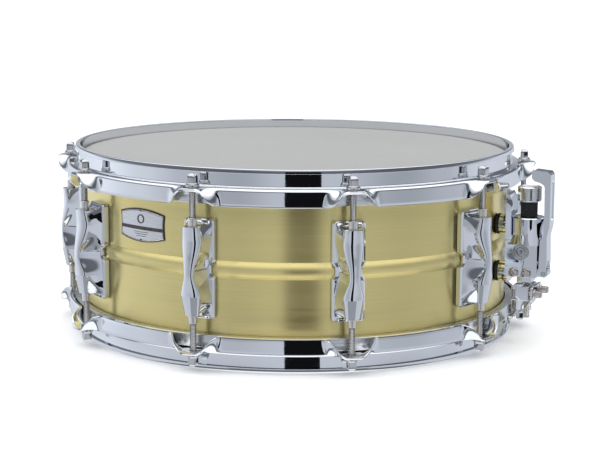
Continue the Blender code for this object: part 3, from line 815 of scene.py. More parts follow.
def build_hoop(name, side):
    hoop = piece(name + "_steel", hoop_mesh(side), CHROME, "drum", [name], HOOP_SMOOTH)
    holes = bmesh.new()
    for angle in lug_angles():
        disc_into(holes, "Z", polar(ROD_CIRCLE, angle, side * SHOULDER_TOP), -6.0, 6.0, HOOP_HOLE, 24)
    tools = [tool(name + "_holes", holes)]
    if side < 0:
        gates = bmesh.new()
        window = rectangle(-26.0, -74.2, 26.0, -40.0, [2.5, 2.5, 0.0, 0.0])
        prism_into(gates, window, 165.0, 210.0, "X")
        prism_into(gates, window, -210.0, -165.0, "X")
        tools.append(tool("snare_gates", gates))
    bake(cut(hoop, *tools), *tools)
    mark_sharp(hoop, HOOP_SMOOTH)


# ---------------------------------------------------------------- lugs

LUG_TOP = 33.5
LUG_BASE_FRONT = 182.4
CREASE = -18.5
WAIST = -2.0
CORNER = 23.0


def eased(z, stations):
    """Value at height z through (height, value) stations from low to high, eased at each."""
    for (low, start), (high, end) in zip(stations, stations[1:]):
        if z <= high:
            turn = math.pi * (z - low) / (high - low)
            return start + (end - start) * (0.5 - 0.5 * math.cos(turn))
    return stations[-1][1]


def straight(z, stations):
    return float(np.interp(z, [s[0] for s in stations], [s[1] for s in stations]))


def post_width(z):
    """Half-width of the post: an hourglass with a corner at CORNER and at CREASE."""
    if z > CORNER:
        return straight(z, [(CORNER, 8.3), (LUG_TOP, 6.9)])
    if z < CREASE:
        return straight(z, [(-LUG_TOP, 5.9), (CREASE, 8.2)])
    return eased(z, [(CREASE, 8.2), (WAIST, 3.9), (CORNER, 8.3)])


def post_front(z):
    """Radius of the post's front on its middle line, furthest out at the waist."""
    if z > CORNER:
        return straight(z, [(CORNER, 198.5), (LUG_TOP, 199.0)])
    if z < CREASE:
        return straight(z, [(-LUG_TOP, 197.4), (CREASE, 200.4)])
    return eased(z, [(CREASE, 200.4), (WAIST, 201.1), (CORNER, 198.5)])


def arch_depth(z):
    """How far the rounded front falls back from its middle line to its sides."""
    if z < CREASE:
        return straight(z, [(-LUG_TOP, 4.2), (CREASE, 5.6)])
    return eased(z, [(CREASE, 5.6), (WAIST, 2.2), (CORNER, 6.2), (LUG_TOP, 4.6)])


def flank_recess(z, share):
    """Depth cut into a flank at a height; share runs from the front edge (0) to the base (1)."""
    depth = 0.0
    spread = (share - 0.46) / 0.42
    if abs(spread) < 1.0 and 0.0 < z < 13.0:
        top = 13.0 * math.sqrt(1.0 - spread * spread)
        if z < top:
            depth = 1.7 * (1.0 - z / top)
    upper = z - (24.0 + 9.0 * share)
    lower = (-21.0 - 11.0 * share) - z
    return depth + 0.3 * max(upper, 0.0) + 0.3 * max(lower, 0.0)


def post_section(z):
    """Outline of the post at a height, from the back left round the front to the back right."""
    width = post_width(z)
    arch = arch_depth(z)
    widest = post_front(z) - arch
    root = straight(z, [(-38.0, 11.6), (-26.0, 11.6), (-1.0, 8.6), (26.0, 11.6), (38.0, 11.6)])
    front = []
    for step in range(17):
        turn = math.pi / 2.0 * step / 16.0
        front.append((widest + arch * math.cos(turn), width * math.sin(turn)))
    foot = LUG_BASE_FRONT - 0.6
    flank = []
    for step in range(1, 13):
        share = step / 12.0
        across = width + (root - width) * share**1.35 - flank_recess(z, share)
        flank.append((widest + (foot - widest) * share, across))
    half = front[1:] + flank + [(180.6, root)]
    return [(radius, -across) for radius, across in reversed(half)] + [front[0]] + half


def post_levels():
    low = [-LUG_TOP, -32.0, -30.0, -28.0, -26.0, -24.0, -22.0, -20.0, CREASE - 0.1]
    middle = [CREASE + 0.1 + 1.2 * step for step in range(15)] + [-0.06, 0.06]
    high = [0.9 + 1.3 * step for step in range(25)] + [LUG_TOP]
    return low + middle + high


def lug_post():
    """Post with a ramp at each end that runs from behind the nut out to the flange's tip."""
    ramp = ((0.02, 187.6), (0.5, 185.6), (1.3, 184.3), (2.4, 183.4), (3.6, 182.9))
    loops = [[(radius, across, z) for radius, across in post_section(z)] for z in post_levels()]
    for side in (1.0, -1.0):
        edge = post_section(side * LUG_TOP)
        for lift, reach in ramp:
            narrow = 1.0 - 0.02 * lift
            loop = [(min(radius, reach), across * narrow, side * (LUG_TOP + lift)) for radius, across in edge]
            loops.insert(len(loops) if side > 0 else 0, loop)
    bm = bmesh.new()
    loft_into(bm, loops)
    return bm


def base_half_width(z):
    """Flange half-width: rounded corners at its tips and a notch on each side round the bead."""
    notch = 1.0 - smoothstep(abs(z), 2.4, 7.0)
    width = 12.6 - 2.2 * notch
    into_tip = abs(z) - 35.6
    if into_tip > 0.0:
        width -= 2.4 - math.sqrt(max(2.4**2 - into_tip**2, 0.0))
    return width


def lug_base():
    """Flange against the shell, hollowed at mid-height to ride over the bead."""
    levels = [-38.0, -37.8, -37.3, -36.6, -35.6, -30.0, -20.0, -12.0]
    levels += [-9.0 + 0.75 * step for step in range(25)]
    levels += [12.0, 20.0, 30.0, 35.6, 36.6, 37.3, 37.8, 38.0]
    loops = []
    for z in levels:
        width = base_half_width(z)
        back = SHELL_RADIUS + 0.3 + bead_height(z) if abs(z) < 9.0 else SHELL_RADIUS + 0.3
        tip = 0.9 * smoothstep(abs(z), 36.6, 38.0)
        rise = 1.0 * smoothstep(8.0 - abs(z), 0.0, 5.0)
        rear = [(math.sqrt(back**2 - across**2), across) for across in np.linspace(-width, width, 9)]
        front = LUG_BASE_FRONT + rise - tip
        side = [(front - 1.2, width), (front, width - 1.3), (front, -width + 1.3), (front - 1.2, -width)]
        loops.append([(radius, across, z) for radius, across in rear + side])
    bm = bmesh.new()
    loft_into(bm, loops)
    return bm


def lug_mesh():
    body = tool("lug_pattern", lug_base())
    post = tool("lug_post", lug_post())
    bake(cut(body, post, operation="UNION"), post)
    return mesh_of(flatten(body, 26.0))


def nut_mesh():
    """A swivel nut's visible neck, with the bore the rod runs in."""
    neck = ring_profile([(2.65, 40.0), (3.45, 40.0), (3.45, 30.0), (2.65, 30.0)], [0.25, 0.45, 0.1, 0.1])
    return mesh_of(turned("nut_pattern", neck, 32, NUT_METAL, None, None))


def build_lugs():
    mesh = lug_mesh()
    nut = nut_mesh()
    upside_down = Matrix.Rotation(math.pi, 4, "X")
    for index, angle in enumerate(lug_angles()):
        number = f"{index + 1:02d}"
        attach(f"lug_body_{number}", mesh, "drum", [f"lug_{number}"], spin(angle))
        place = spin(angle) @ shift(ROD_CIRCLE)
        attach(f"upper_nut_{number}", nut, "drum", (), place)
        attach(f"lower_nut_{number}", nut, "drum", (), place @ upside_down)


# ---------------------------------------------------------------- tension rods


def thread(top, bottom, crest, root, pitch):
    """Radius of a screw thread at an angle and height, between top and bottom."""

    def radius_at(angle, radius, height):
        if not bottom < height < top or radius < root:
            return radius
        phase = (height / pitch - angle / math.tau) % 1.0
        return root + (crest - root) * (1.0 - abs(2.0 * phase - 1.0))

    return radius_at


def shank_profile(top, bottom, radius, pitch):
    rows = [(radius, top)]
    count = int((top - bottom) / pitch * 6)
    rows += [(radius, top - (top - bottom) * step / count) for step in range(1, count)]
    rows += [(radius, bottom + 0.01), (radius - 0.9, bottom - 0.9), (0.0, bottom - 0.9)]
    return rows


ROD_END = 23.0
ROD_RADIUS = 2.5
ROD_PITCH = 1.06


def rod_parts():
    """Meshes of the shank, the round collar with its washer, and the square head."""
    shank = bmesh.new()
    rows = [(0.0, 66.0)] + shank_profile(64.0, ROD_END, ROD_RADIUS, ROD_PITCH)
    turn_into(shank, rows, 20, ripple=thread(60.0, ROD_END, ROD_RADIUS, 2.12, ROD_PITCH))
    steps = ((2.4, 3.0), (4.3, 3.0), (4.75, 1.75), (4.75, 1.6), (5.3, 1.6), (5.3, 0.0), (2.4, 0.0))
    corners = [(radius, WASHER_BOTTOM + height) for radius, height in steps]
    ring = bmesh.new()
    turn_into(ring, ring_profile(corners, [0.1, 0.8, 0.3, 0.05, 0.35, 0.35, 0.1]), 40)
    head = bmesh.new()
    half = 3.2
    square = rectangle(-half, -half, half, half, 0.7, 3)
    foot = [(WASHER_BOTTOM + 2.6, 1.0), (WASHER_BOTTOM + 3.4, 1.0)]
    dome = ((3.2, 0.98), (2.2, 0.93), (1.2, 0.8), (0.5, 0.6), (0.12, 0.36), (0.0, 0.14))
    levels = foot + [(ROD_TOP - depth, share) for depth, share in dome]
    loft_into(head, [[(x * share, y * share, height) for x, y in square] for height, share in levels])
    return shank, ring, head


def build_rods():
    bm = bmesh.new()
    for part in rod_parts():
        add_into(bm, part)
    mesh = mesh_of(piece("rod_pattern", bm, STEEL, None, smooth=40.0))
    mesh.materials.append(ROD_METAL)
    for face in mesh.polygons:
        if face.center.z < (WASHER_BOTTOM - 0.3) * MM:
            face.material_index = 1
    for index, angle in enumerate(lug_angles()):
        number = f"{index + 1:02d}"
        for side, flip in (("batter", 0.0), ("snare_side", math.pi)):
            node = f"{side}_rod_{number}"
            place = spin(angle) @ shift(ROD_CIRCLE) @ Matrix.Rotation(flip, 4, "X")
            attach(f"{side}_tension_rod_{number}", mesh, node, [node], place)


# ---------------------------------------------------------------- throw-off: housing and medallion

BODY_HALF = box_mm("strainer_housing")[1].y - 2.2
BODY_BOTTOM = -21.2
BODY_FRONT = 213.8
BODY_BACK = 189.6
BARREL = 13.2
SIDE_SCREWS = ((195.0, -17.9), (205.3, -17.8))
MEDAL = (200.3, -1.2)
FOOT_HEIGHTS = (19.0, -19.5)
PIVOT = (218.4, -18.0)
LEVER_HALF = 7.0


def inner_screw(bm, height, end):
    """Mounting screw through the shell's wall with its head inside."""
    disc_into(bm, "X", (0.0, 0.0, height), 174.0, end, 2.2, 16)
    disc_into(bm, "X", (0.0, 0.0, height), 172.2, 175.8, 4.4, 24)


def housing_casting(bm):
    """Square body whose top flows out into the round barrel, with a ramp that climbs at the front."""
    steps = sorted([math.tau * step / 72.0 for step in range(72)] + body_corners())
    low, high, round_low, round_high, crown = [], [], [], [], []
    for turn in steps:
        along_x, along_y = math.cos(turn), math.sin(turn)
        front = (BODY_FRONT if along_x > 0.0 else BODY_BACK) - KNOB_AXIS
        reach = min(front / along_x if abs(along_x) > 1e-6 else 99.0, BODY_HALF / max(abs(along_y), 1e-6))
        x, y = KNOB_AXIS + reach * along_x, reach * along_y
        low.append((x, y, BODY_BOTTOM))
        high.append((x, y, 4.5))
        climb = smoothstep(along_x, -0.1, 0.95)
        round_low.append((KNOB_AXIS + BARREL * along_x, BARREL * along_y, 12.5 + 11.5 * climb))
        round_high.append((KNOB_AXIS + BARREL * along_x, BARREL * along_y, 25.8))
        crown.append((KNOB_AXIS + (BARREL - 0.7) * along_x, (BARREL - 0.7) * along_y, 26.5))
    loft_into(bm, [low, high, round_low, round_high, crown])


def body_corners():
    """Directions from the barrel's axis to the body's four corners, from 0 to a full turn."""
    front = math.atan2(BODY_HALF, BODY_FRONT - KNOB_AXIS)
    back = math.atan2(BODY_HALF, BODY_BACK - KNOB_AXIS)
    return [front, back, math.tau - back, math.tau - front]


def housing_plate(bm):
    outline = rounded(
        [(187.6, BODY_BOTTOM), (192.0, BODY_BOTTOM), (192.0, 30.0), (193.2, 37.6), (187.6, 47.0)],
        [0.6, 0.6, 3.0, 1.2, 0.8],
    )
    prism_into(bm, outline, -10.5, 10.5)


def housing_feet(bm):
    for height in FOOT_HEIGHTS:
        disc_into(bm, "X", (0.0, 0.0, height), 181.0, 188.6, 8.0, 48)
        inner_screw(bm, height, 182.0)


def housing_knuckle(bm):
    x, z = PIVOT
    block_into(bm, (BODY_FRONT - 1.0, -5.3, BODY_BOTTOM + 0.2), (x, 5.3, z + 3.2))
    disc_into(bm, "Y", (x, 0.0, z), -5.35, 5.35, 3.25)


def housing_hollows(bm):
    """The lift's shaft, the bores for knob and pin, and the step that thins the plate's top."""
    block_into(bm, (197.5, -7.3, BODY_BOTTOM - 2.0), (210.1, 7.3, 8.0))
    disc_into(bm, "Z", (KNOB_AXIS, 0.0, 0.0), 5.0, 30.0, 3.5)
    disc_into(bm, "Y", (PIVOT[0], 0.0, PIVOT[1]), -10.0, 10.0, 1.8)
    block_into(bm, (189.6, -8.6, 27.5), (196.0, 8.6, 50.0))


def housing_seats(bm):
    """Seats in the side face for the medallion and the two screws."""
    face = -BODY_HALF
    disc_into(bm, "Y", (MEDAL[0], 0.0, MEDAL[1]), face - 2.0, face + 0.85, 7.1, 48)
    for x, z in SIDE_SCREWS:
        disc_into(bm, "Y", (x, 0.0, z), face - 2.0, face + 0.9, 4.35)


def housing_slots(bm):
    """Two short slots and a three-cornered one near the rear of the side face, and the slit."""
    face = -BODY_HALF
    for z in (1.6, -1.5):
        prism_into(bm, rectangle(188.0, z - 0.75, 192.8, z + 0.75, 0.7), face - 2.0, face + 1.6)
    wedge = rounded([(187.0, -8.2), (193.6, -10.6), (190.0, -13.2), (187.0, -13.2)], [0.4, 0.6, 0.6, 0.4])
    prism_into(bm, wedge, face - 2.0, face + 1.6)
    slit = [(199.95, -16.5), (200.35, -16.5), (200.55, -7.6), (200.15, -7.6)]
    prism_into(bm, slit, face - 2.0, face + 0.5)


def build_housing():
    adds = (housing_plate, housing_knuckle, housing_feet)
    cuts = (housing_hollows, housing_seats, housing_slots)
    body = carved("strainer_casting", housing_casting, adds, cuts, (0.35, 2, 28.0), overlapping=True)
    settle(body, "drum", "chrome", "strainer_housing", smooth=9.0)


def build_medallion():
    """Round insert with a raised rim and plain rings inside it."""
    inner_ring = [(1.6, -0.05), (1.6, 0.25), (2.6, 0.25), (2.6, -0.05)]
    outer_ring = [(4.2, -0.05), (4.2, 0.15), (4.7, 0.15), (4.7, -0.05)]
    rim = [(5.6, -0.05), (5.6, 0.3), (6.8, 0.3), (6.8, -0.5), (0.0, -0.5)]
    corners = [(0.0, -0.05)] + inner_ring + outer_ring + rim
    profile = rounded(corners, [0.0] + [0.08] * 10 + [0.25, 0.0, 0.0], closed=False)
    place = along("-Y", MEDAL[0], -BODY_HALF, MEDAL[1])
    turned("medallion_disc", profile, 72, STEEL, "drum", "chrome", ["side_medallion"], place, smooth=30.0)


def cross_screw(name, place, radius, body, slot, material):
    """A domed screw head with a cross recess."""
    dome = [(radius * math.sin(a), 0.95 * math.cos(a) - 0.2) for a in np.linspace(0.0, math.pi / 2.0, 9)]
    profile = [(0.0, dome[0][1])] + dome[1:] + [(radius, -0.75), (0.0, -0.75)]
    long, short = radius * 0.62, radius * 0.14
    bars = [(long, short), (short, long)]
    cuts = [lambda bm, x=x, y=y: block_into(bm, (-x, -y, 0.05), (x, y, 2.0)) for x, y in bars]
    head = carved(name, lambda bm: turn_into(bm, profile, 40), cuts=cuts, overlapping=True)
    head.matrix_world = shift(z=MID) @ place
    settle(head, body, slot, material=material)


def build_side_screws():
    for number, (x, z) in enumerate(SIDE_SCREWS, 1):
        place = along("-Y", x, -BODY_HALF, z) @ spin(18.0 + 30.0 * number)
        cross_screw(f"side_screw_{number}", place, 4.0, "drum", "chrome", SCREW_METAL)


def build_gaskets():
    for name, height in zip(("upper_foot_gasket", "lower_foot_gasket"), FOOT_HEIGHTS):
        corners = [(2.5, 1.2), (8.2, 1.2), (8.4, 0.0), (8.2, -1.2), (2.5, -1.2)]
        profile = ring_profile(corners, [0.2, 0.4, 0.8, 0.4, 0.2])
        place = along("X", SHELL_RADIUS + 1.6, 0.0, height)
        turned(name + "_ring", profile, 48, RUBBER, "drum", "black_rubber", [name], place)


# ---------------------------------------------------------------- throw-off: lever, knob and lift


def lever_outline():
    """Side view of the lever: up its outer side, over its hooked head and down its inner side."""
    outer = [(220.2, -21.2), (220.9, -8.2), (220.4, 11.9), (222.4, 20.2), (222.3, 60.6), (220.4, 63.6)]
    hook = [(208.2, 64.6), (206.8, 63.2), (206.9, 58.1), (209.0, 55.8), (214.0, 54.6), (217.4, 52.5)]
    inner = [(217.8, 29.4), (217.5, 25.0), (217.5, 12.0), (214.8, 8.5), (214.5, -16.8), (216.0, -20.8)]
    radii = [1.0, 6.0, 6.0, 8.0, 3.0, 2.0] + [1.4, 1.4, 2.0, 2.0, 3.0, 3.0] + [6.0, 4.0, 3.0, 3.0, 1.5, 1.5]
    return rounded(outer + hook + inner, radii, 5)


def lever_hollows(bm):
    """The two channels over the housing's knuckle and the hinge bore."""
    block_into(bm, (213.0, -5.8, -12.5), (219.6, 5.8, 9.0))
    block_into(bm, (213.0, -5.8, -23.0), (224.0, 5.8, -12.4))
    disc_into(bm, "Y", (PIVOT[0], 0.0, PIVOT[1]), -10.0, 10.0, 1.75)


def lever_panel(bm):
    """Shallow sunk panel on the lever's outer face."""
    prism_into(bm, rectangle(-4.2, 24.0, 4.2, 56.0, 3.0, 6), 221.7, 230.0, "X")


def build_lever():
    lever = carved(
        "lever_arm",
        lambda bm: prism_into(bm, lever_outline(), -LEVER_HALF, LEVER_HALF),
        cuts=(lever_hollows, lever_panel),
        edge=(1.1, 4, 40.0),
        overlapping=True,
    )
    settle(lever, "lever", "chrome", "strainer_lever")
    ribs = bmesh.new()
    for step in range(5):
        z = -9.5 - 1.9 * step
        out = 220.5 + 0.05 * (z + 8.2)
        prism_into(ribs, rectangle(-4.6, z - 0.5, 4.6, z + 0.5, 0.45), out, out + 0.9, "X")
    piece("lever_grip_ribs", ribs, CHROME, "lever", smooth=40.0)
    pin = rounded([(0.0, 6.8), (1.55, 6.8), (1.55, -6.8), (0.0, -6.8)], [0.0, 0.35, 0.35, 0.0], closed=False)
    place = along("-Y", PIVOT[0], 0.0, PIVOT[1])
    turned("lever_hinge_pin", pin, 32, STEEL, "drum", "steel", ["lever_pin"], place)


def build_knob():
    place = shift(KNOB_AXIS)
    corners = [(0.0, 50.6), (6.6, 50.6), (7.0, 51.0), (8.7, 51.0), (9.7, 50.0), (9.7, 39.9), (9.0, 39.0)]
    corners += [(3.0, 39.0), (3.0, 8.0), (1.6, 7.0), (1.6, -9.0), (0.0, -9.0)]
    cap = rounded(corners, [0.0, 0.3, 0.3, 0.6, 0.8, 0.7, 0.4, 0.3, 0.3, 0.3, 0.3, 0.0], closed=False)
    turned("knob_cap_metal", cap, 96, KNOB_METAL, "knob", "chrome", ["knob_cap"], place)

    def knurl(angle, radius, height):
        if radius < 5.0:
            return radius
        return radius - 0.32 * (0.5 - 0.5 * math.cos(36 * angle)) ** 2

    grip = ring_profile([(3.3, 38.7), (6.75, 38.7), (6.75, 26.8), (3.3, 26.8)], [0.1, 0.5, 0.5, 0.1])
    turned("knob_grip_rubber", grip, 288, RUBBER, "knob", "black_rubber", ["knob_grip"], place, knurl)


SPINDLE_RADIUS = 2.6


def build_lift():
    slide = carved(
        "lift_slider",
        lambda bm: block_into(bm, (197.9, -6.9, -17.5), (209.7, 6.9, 4.5)),
        adds=[lambda bm: block_into(bm, (199.0, -6.4, -26.2), (208.6, 6.4, -17.0))],
        cuts=[lambda bm: disc_into(bm, "Z", (KNOB_AXIS, 0.0, 0.0), -30.0, 8.0, 3.4)],
        edge=(0.4, 2, 40.0),
    )
    settle(slide, "lift", "chrome", "lift_slide")
    rows = [(2.0, 3.5), (3.1, 3.5), (3.1, -27.4)]
    rows += [(SPINDLE_RADIUS, -27.4 - 28.0 * step / 150.0) for step in range(151)]
    rows += [(1.9, -56.2), (0.0, -56.8), (0.0, -13.0), (2.0, -13.0), (2.0, 3.5)]
    ripple = thread(-28.0, -55.4, SPINDLE_RADIUS, 2.15, 1.0)
    screw = ("lift_spindle_screw", rows, 20, STEEL, "carriage", "steel", ["lift_spindle"])
    turned(*screw, shift(KNOB_AXIS), ripple)


# ---------------------------------------------------------------- clamps, butt and straps

CLAMP_HEIGHT = -34.4
CLAMP_SPREAD = 10.2
CLAMP_HALF = 13.4
BLOCK_TOP = -28.6
BLOCK_BOTTOM = -40.3
STRAP_HALF_THICK = 0.3
STRAP_HALF_WIDTH = 12.0
OWNERS = (("strainer", 0.0, "carriage"), ("butt", 180.0, "drum"))


def clamp_holes(bm, radius=2.15):
    for y in (-CLAMP_SPREAD, CLAMP_SPREAD):
        disc_into(bm, "X", (0.0, y, CLAMP_HEIGHT), 200.0, 216.0, radius)


def clamp_screw_mesh():
    """Square domed head on a round collar and shank, along X, drawn about its own axis."""
    bm = bmesh.new()
    corners = [(0.0, 213.4), (3.9, 213.4), (3.9, 212.3), (0.0, 212.3)]
    turn_into(bm, rounded(corners, [0.0, 0.4, 0.3, 0.0], closed=False), 32, TURNS["X"])
    disc_into(bm, "X", (0.0, 0.0, 0.0), 202.5, 212.8, 2.0, 20)
    square = rectangle(-2.6, -2.6, 2.6, 2.6, 0.5, 3)
    levels = ((213.0, 1.0), (217.6, 0.97), (218.5, 0.85), (218.9, 0.6), (219.0, 0.3))
    head = bmesh.new()
    loft_into(head, [[(x, y * share, z * share) for y, z in square] for x, share in levels])
    add_into(bm, head)
    return mesh_of(piece("clamp_screw_pattern", bm, SCREW_METAL, None, smooth=40.0))


def strap_plate(bm):
    prism_into(bm, rectangle(-CLAMP_HALF, BLOCK_BOTTOM, CLAMP_HALF, BLOCK_TOP, 1.6), 210.0, 212.0, "X")


def build_clamps():
    screw = clamp_screw_mesh()
    for owner, turn, body in OWNERS:
        plate = carved(f"{owner}_strap_plate", strap_plate, cuts=[clamp_holes], edge=(0.35, 2, 40.0))
        settle(plate, body, "chrome", f"{owner}_clamp_plate", turn=turn)
        for hand, y in (("left", -CLAMP_SPREAD), ("right", CLAMP_SPREAD)):
            place = spin(turn) @ shift(0.0, y, CLAMP_HEIGHT)
            node = f"{owner}_clamp_screw_{hand}"
            attach(f"{owner}_square_screw_{hand}", screw, body, [node], place)
    block = carved(
        "strainer_block",
        lambda bm: block_into(bm, (194.0, -CLAMP_HALF, BLOCK_BOTTOM), (208.6, CLAMP_HALF, BLOCK_TOP)),
        cuts=[lambda bm: disc_into(bm, "Z", (KNOB_AXIS, 0.0, 0.0), -45.0, -24.0, 2.8), clamp_holes],
        edge=(0.9, 3, 40.0),
    )
    settle(block, "carriage", "chrome", "clamp_block")


def butt_arm(bm):
    """Wedge from the butt's wall plate out to its clamp face."""
    corners = [(181.0, -14.0), (208.6, BLOCK_TOP), (208.6, BLOCK_BOTTOM), (181.0, BLOCK_BOTTOM)]
    prism_into(bm, rounded(corners, [0.0, 2.0, 1.5, 0.0]), -CLAMP_HALF, CLAMP_HALF)


def butt_screws(bm):
    for height in (-12.0, CLAMP_HEIGHT):
        inner_screw(bm, height, 180.0)


def build_butt():
    """Fixed clamp opposite the throw-off, drawn on the +X side and turned half round."""
    plate = rectangle(-15.0, -44.0, 15.0, -8.0, [2.5, 2.5, 4.0, 4.0])
    body = mesh_tool("butt_casting", lambda bm: prism_into(bm, plate, SHELL_RADIUS + 0.32, 182.0, "X"))
    adds = [mesh_tool("butt_arm", butt_arm), mesh_tool("butt_inner_screws", butt_screws)]
    cut(body, *adds, operation="UNION", overlapping=True)
    holes = mesh_tool("butt_holes", clamp_holes)
    bake(bevel(cut(body, holes), 0.6, 3, 35.0), *adds, holes)
    settle(body, "drum", "chrome", "butt_block", turn=180.0)


def strap_path():
    """Middle line of a strap in X and Z: down through its clamp, in through the gate, under the head."""
    face = 209.3 + STRAP_HALF_THICK
    points = [(face, -29.6), (face, -40.8), (206.3, -46.0), (196.3, -53.9), (184.3, -63.9)]
    points += [(176.5, -71.0), (172.3, -71.1), (166.5, -71.1)]
    return rounded(points, [0.0, 6.0, 8.0, 20.0, 20.0, 5.0, 5.0, 0.0], 6, closed=False)


def strap_band(bm):
    """The strap's flat section carried along its path."""
    loops = []
    path = [Vector(point) for point in strap_path()]
    half = STRAP_HALF_WIDTH
    for i, here in enumerate(path):
        run = (path[min(i + 1, len(path) - 1)] - path[max(i - 1, 0)]).normalized()
        side = Vector((-run.y, run.x)) * STRAP_HALF_THICK
        a, b = here + side, here - side
        loops.append([(a.x, -half, a.y), (a.x, half, a.y), (b.x, half, b.y), (b.x, -half, b.y)])
    loft_into(bm, loops)


def strap_holes(bm):
    clamp_holes(bm, 2.3)


def strap_opening(bm):
    """Round opening for the spindle's end."""
    disc_into(bm, "Z", (KNOB_AXIS, 0.0, 0.0), -62.0, -43.0, 4.1)


def build_straps():
    for owner, turn, body in OWNERS:
        strap = carved(f"{owner}_snare_strap", strap_band, cuts=(strap_holes, strap_opening))
        settle(strap, body, "strap_plastic", f"{owner}_strap", material=STRAP_MATERIAL, turn=turn)


# ---------------------------------------------------------------- snare wires

STRANDS = 20
STRAND_PITCH = 2.05
STRAND_REACH = 149.5
WIRE_LEVEL = -70.6


def strand_mesh():
    """One coiled wire along X."""
    turns, around, sides = 150, 9, 5
    coil, wire = 0.58, 0.22
    bends = [math.tau * corner / sides for corner in range(sides)]
    loops = []
    count = turns * around
    for step in range(count + 1):
        angle = math.tau * step / around
        x = -STRAND_REACH + 2.0 * STRAND_REACH * step / count
        out = Vector((0.0, math.cos(angle), math.sin(angle)))
        tube = [(coil + wire * math.cos(bend), x + wire * math.sin(bend)) for bend in bends]
        loops.append([out * reach + Vector((along_x, 0.0, 0.0)) for reach, along_x in tube])
    bm = bmesh.new()
    loft_into(bm, loops)
    return mesh_of(piece("strand_pattern", bm, WIRE_STEEL, None, smooth=60.0))


def plate_slots(bm):
    """Two slots in an end plate for the strap."""
    for y in (-9.0, 9.0):
        outline = rectangle(159.5, y - 6.0, 162.0, y + 6.0, 1.0)
        prism_into(bm, outline, WIRE_LEVEL - 4.0, WIRE_LEVEL + 4.0, "Z")


def end_plate(bm):
    half = STRAND_PITCH * STRANDS / 2.0
    outline = rectangle(148.6, -half, 165.6, half, 1.6)
    prism_into(bm, outline, WIRE_LEVEL - 0.75, WIRE_LEVEL + 0.75, "Z")


def build_snare_wires():
    for name, turn, nodes in (("strainer", 0.0, ["snare_wires"]), ("butt", 180.0, [])):
        plate = carved("snare_end_plate_" + name, end_plate, cuts=[plate_slots], edge=(0.3, 2, 40.0))
        settle(plate, "snares", "wire_steel", *nodes, material=END_PLATE, turn=turn)
    mesh = strand_mesh()
    for index in range(STRANDS):
        y = (index + 0.5 - STRANDS / 2.0) * STRAND_PITCH
        place = shift(0.0, y, WIRE_LEVEL)
        attach(f"snare_strand_{index + 1:02d}", mesh, "snares", (), place)


# ---------------------------------------------------------------- studio

VIEW_AZIMUTH = 22.88
VIEW_ELEVATION = 9.66
VIEW_DISTANCE = 1.37357
VIEW_ROLL = 0.327
FOCAL = 97.0
STRIP = (-71.7, -53.5)
FOOT_SPREAD = (-104.0, -24.0)
WALL_TINT = (1.0, 1.06, 1.17)
CEILING = (1.4, 1.4, 1.4)
GROUND = (1.15, 1.17, 1.2)
FLOOR_TINT = (0.93, 0.935, 0.94)
WALL_STOPS = [(-180.0, 0.88), (-150.0, 0.68), (-125.0, 0.50), (-95.0, 0.39), (-72.0, 0.54), (-50.0, 0.54)]
WALL_STOPS += [(-10.0, 0.37), (15.0, 0.48), (45.0, 0.68), (100.0, 0.60), (180.0, 0.88)]


def wall_tone(nodes, azimuth):
    """Brightness of the surroundings round the drum: dim to each side of the camera, bright at the back."""
    share = nodes.math("ADD", nodes.math("DIVIDE", azimuth, 360.0), 0.5)
    ramp = nodes.add("ShaderNodeValToRGB")
    ramp.color_ramp.interpolation = "EASE"
    stops = ramp.color_ramp.elements
    while len(stops) < len(WALL_STOPS):
        stops.new(1.0)
    for stop, (turn, level) in zip(stops, WALL_STOPS):
        stop.position = turn / 360.0 + 0.5
        stop.color = (*[level * tint for tint in WALL_TINT], 1.0)
    nodes.link(share, ramp.inputs[0])
    return ramp.outputs[0]


def build_world():
    """Soft pale surroundings with one dark upright strip by the camera, as a photo tent has.

    Only reflections and light see it: the camera sees plain white.
    """
    world = bpy.data.worlds.new("studio")
    bpy.context.scene.world = world
    world.use_nodes = True
    nodes = Nodes(world.node_tree)
    direction = nodes.add("ShaderNodeTexCoord").outputs["Generated"]
    x, y, z = nodes.split(direction)
    azimuth = nodes.product(nodes.math("ARCTAN2", y, x), 180.0 / math.pi)
    even = darker(WALL_TINT, 0.60)
    wall = nodes.mix(nodes.ramp(z, -0.14, -0.34, 0.0, 0.85), wall_tone(nodes, azimuth), even)
    wall = nodes.mix(nodes.ramp(z, 0.45, 0.75), wall, CEILING)
    wall = nodes.mix(nodes.ramp(z, -0.62, -0.8), wall, GROUND)
    upper_band = nodes.product(nodes.ramp(z, 0.06, 0.20), nodes.ramp(z, 0.46, 0.38), 0.82)
    lower_band = nodes.product(nodes.ramp(z, -0.74, -0.70), nodes.ramp(z, -0.60, -0.64), 0.85)
    wall = nodes.mix(upper_band, wall, (0.05, 0.055, 0.065))
    wall = nodes.mix(lower_band, wall, (0.05, 0.055, 0.06))
    foot = nodes.product(nodes.between(z, -0.66, -0.44), nodes.between(azimuth, *FOOT_SPREAD), 0.55)
    wall = nodes.mix(foot, wall, (0.10, 0.10, 0.11))
    strip = nodes.product(nodes.between(azimuth, *STRIP), nodes.between(z, -0.5, 0.38))
    seen = nodes.mix(strip, wall, (0.006, 0.006, 0.007))
    path = nodes.add("ShaderNodeLightPath")
    color = nodes.mix(path.outputs["Is Camera Ray"], seen, (1.0, 1.0, 1.0))
    background = nodes.add("ShaderNodeBackground", Strength=1.0)
    nodes.link(color, background.inputs["Color"])
    output = nodes.add("ShaderNodeOutputWorld")
    nodes.link(background.outputs[0], output.inputs[0])


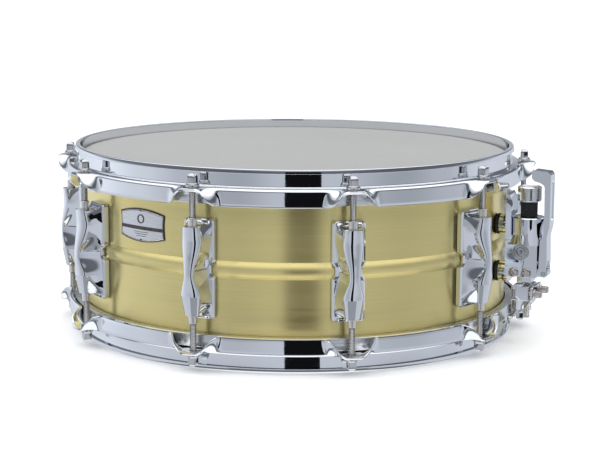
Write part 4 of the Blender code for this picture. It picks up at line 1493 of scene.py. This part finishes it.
def build_floor():
    bm = bmesh.new()
    bmesh.ops.create_grid(bm, x_segments=1, y_segments=1, size=40.0)
    mesh = bpy.data.meshes.new("floor")
    bm.to_mesh(mesh)
    bm.free()
    floor_material, nodes, shader, place = new_material("floor_paper", 0.0)
    shader.inputs["Roughness"].default_value = 0.9
    grain = nodes.noise(place, 40.0, 4.0)
    tone = nodes.mix(nodes.ramp(grain, 0.3, 0.7), FLOOR_TINT, (0.92, 0.925, 0.93))
    nodes.link(tone, shader.inputs["Base Color"])
    shader.inputs["Emission Color"].default_value = (1.0, 1.0, 1.0, 1.0)
    shader.inputs["Emission Strength"].default_value = 0.16
    mesh.materials.append(floor_material)
    floor = bpy.data.objects.new("floor", mesh)
    floor.location.z = CAD_BOX[0][2] - 0.0002
    floor.visible_glossy = False
    bpy.context.scene.collection.objects.link(floor)


def build_lights():
    for name, spot, size, power in (
        ("key_light", (-1.1, -1.0, 1.7), 1.6, 9.0),
        ("top_light", (0.3, 0.2, 2.0), 2.4, 14.0),
    ):
        lamp = bpy.data.lights.new(name, "AREA")
        lamp.shape = "DISK"
        lamp.size = size
        lamp.energy = power
        light = bpy.data.objects.new(name, lamp)
        light.location = spot
        light.rotation_euler = (Vector((0.0, 0.0, -0.05)) - Vector(spot)).to_track_quat("-Z", "Y").to_euler()
        light.visible_glossy = False
        bpy.context.scene.collection.objects.link(light)


def build_camera():
    lens = bpy.data.cameras.new("camera")
    lens.sensor_width = 36.0
    lens.lens = FOCAL
    lens.clip_start = 0.05
    camera = bpy.data.objects.new("camera", lens)
    target = Vector((4.37, 1.84, MID + 4.83)) * MM
    azimuth = math.radians(VIEW_AZIMUTH)
    rise = math.radians(VIEW_ELEVATION)
    out = Vector((math.sin(azimuth) * math.cos(rise), -math.cos(azimuth) * math.cos(rise), math.sin(rise)))
    place = Matrix.Translation(target + out * VIEW_DISTANCE)
    aim = (-out).to_track_quat("-Z", "Y").to_matrix().to_4x4()
    camera.matrix_world = place @ aim @ spin(VIEW_ROLL)
    bpy.context.scene.collection.objects.link(camera)
    bpy.context.scene.camera = camera
    bpy.context.scene.view_settings.view_transform = "Standard"


# ---------------------------------------------------------------- assembly

build_shell()
build_badge()
build_heads()
build_hoop("batter_hoop", 1)
build_hoop("snare_side_hoop", -1)
build_lugs()
build_rods()
build_housing()
build_medallion()
build_side_screws()
build_gaskets()
build_lever()
build_knob()
build_lift()
build_clamps()
build_butt()
build_straps()
build_snare_wires()
build_world()
build_floor()
build_lights()
build_camera()
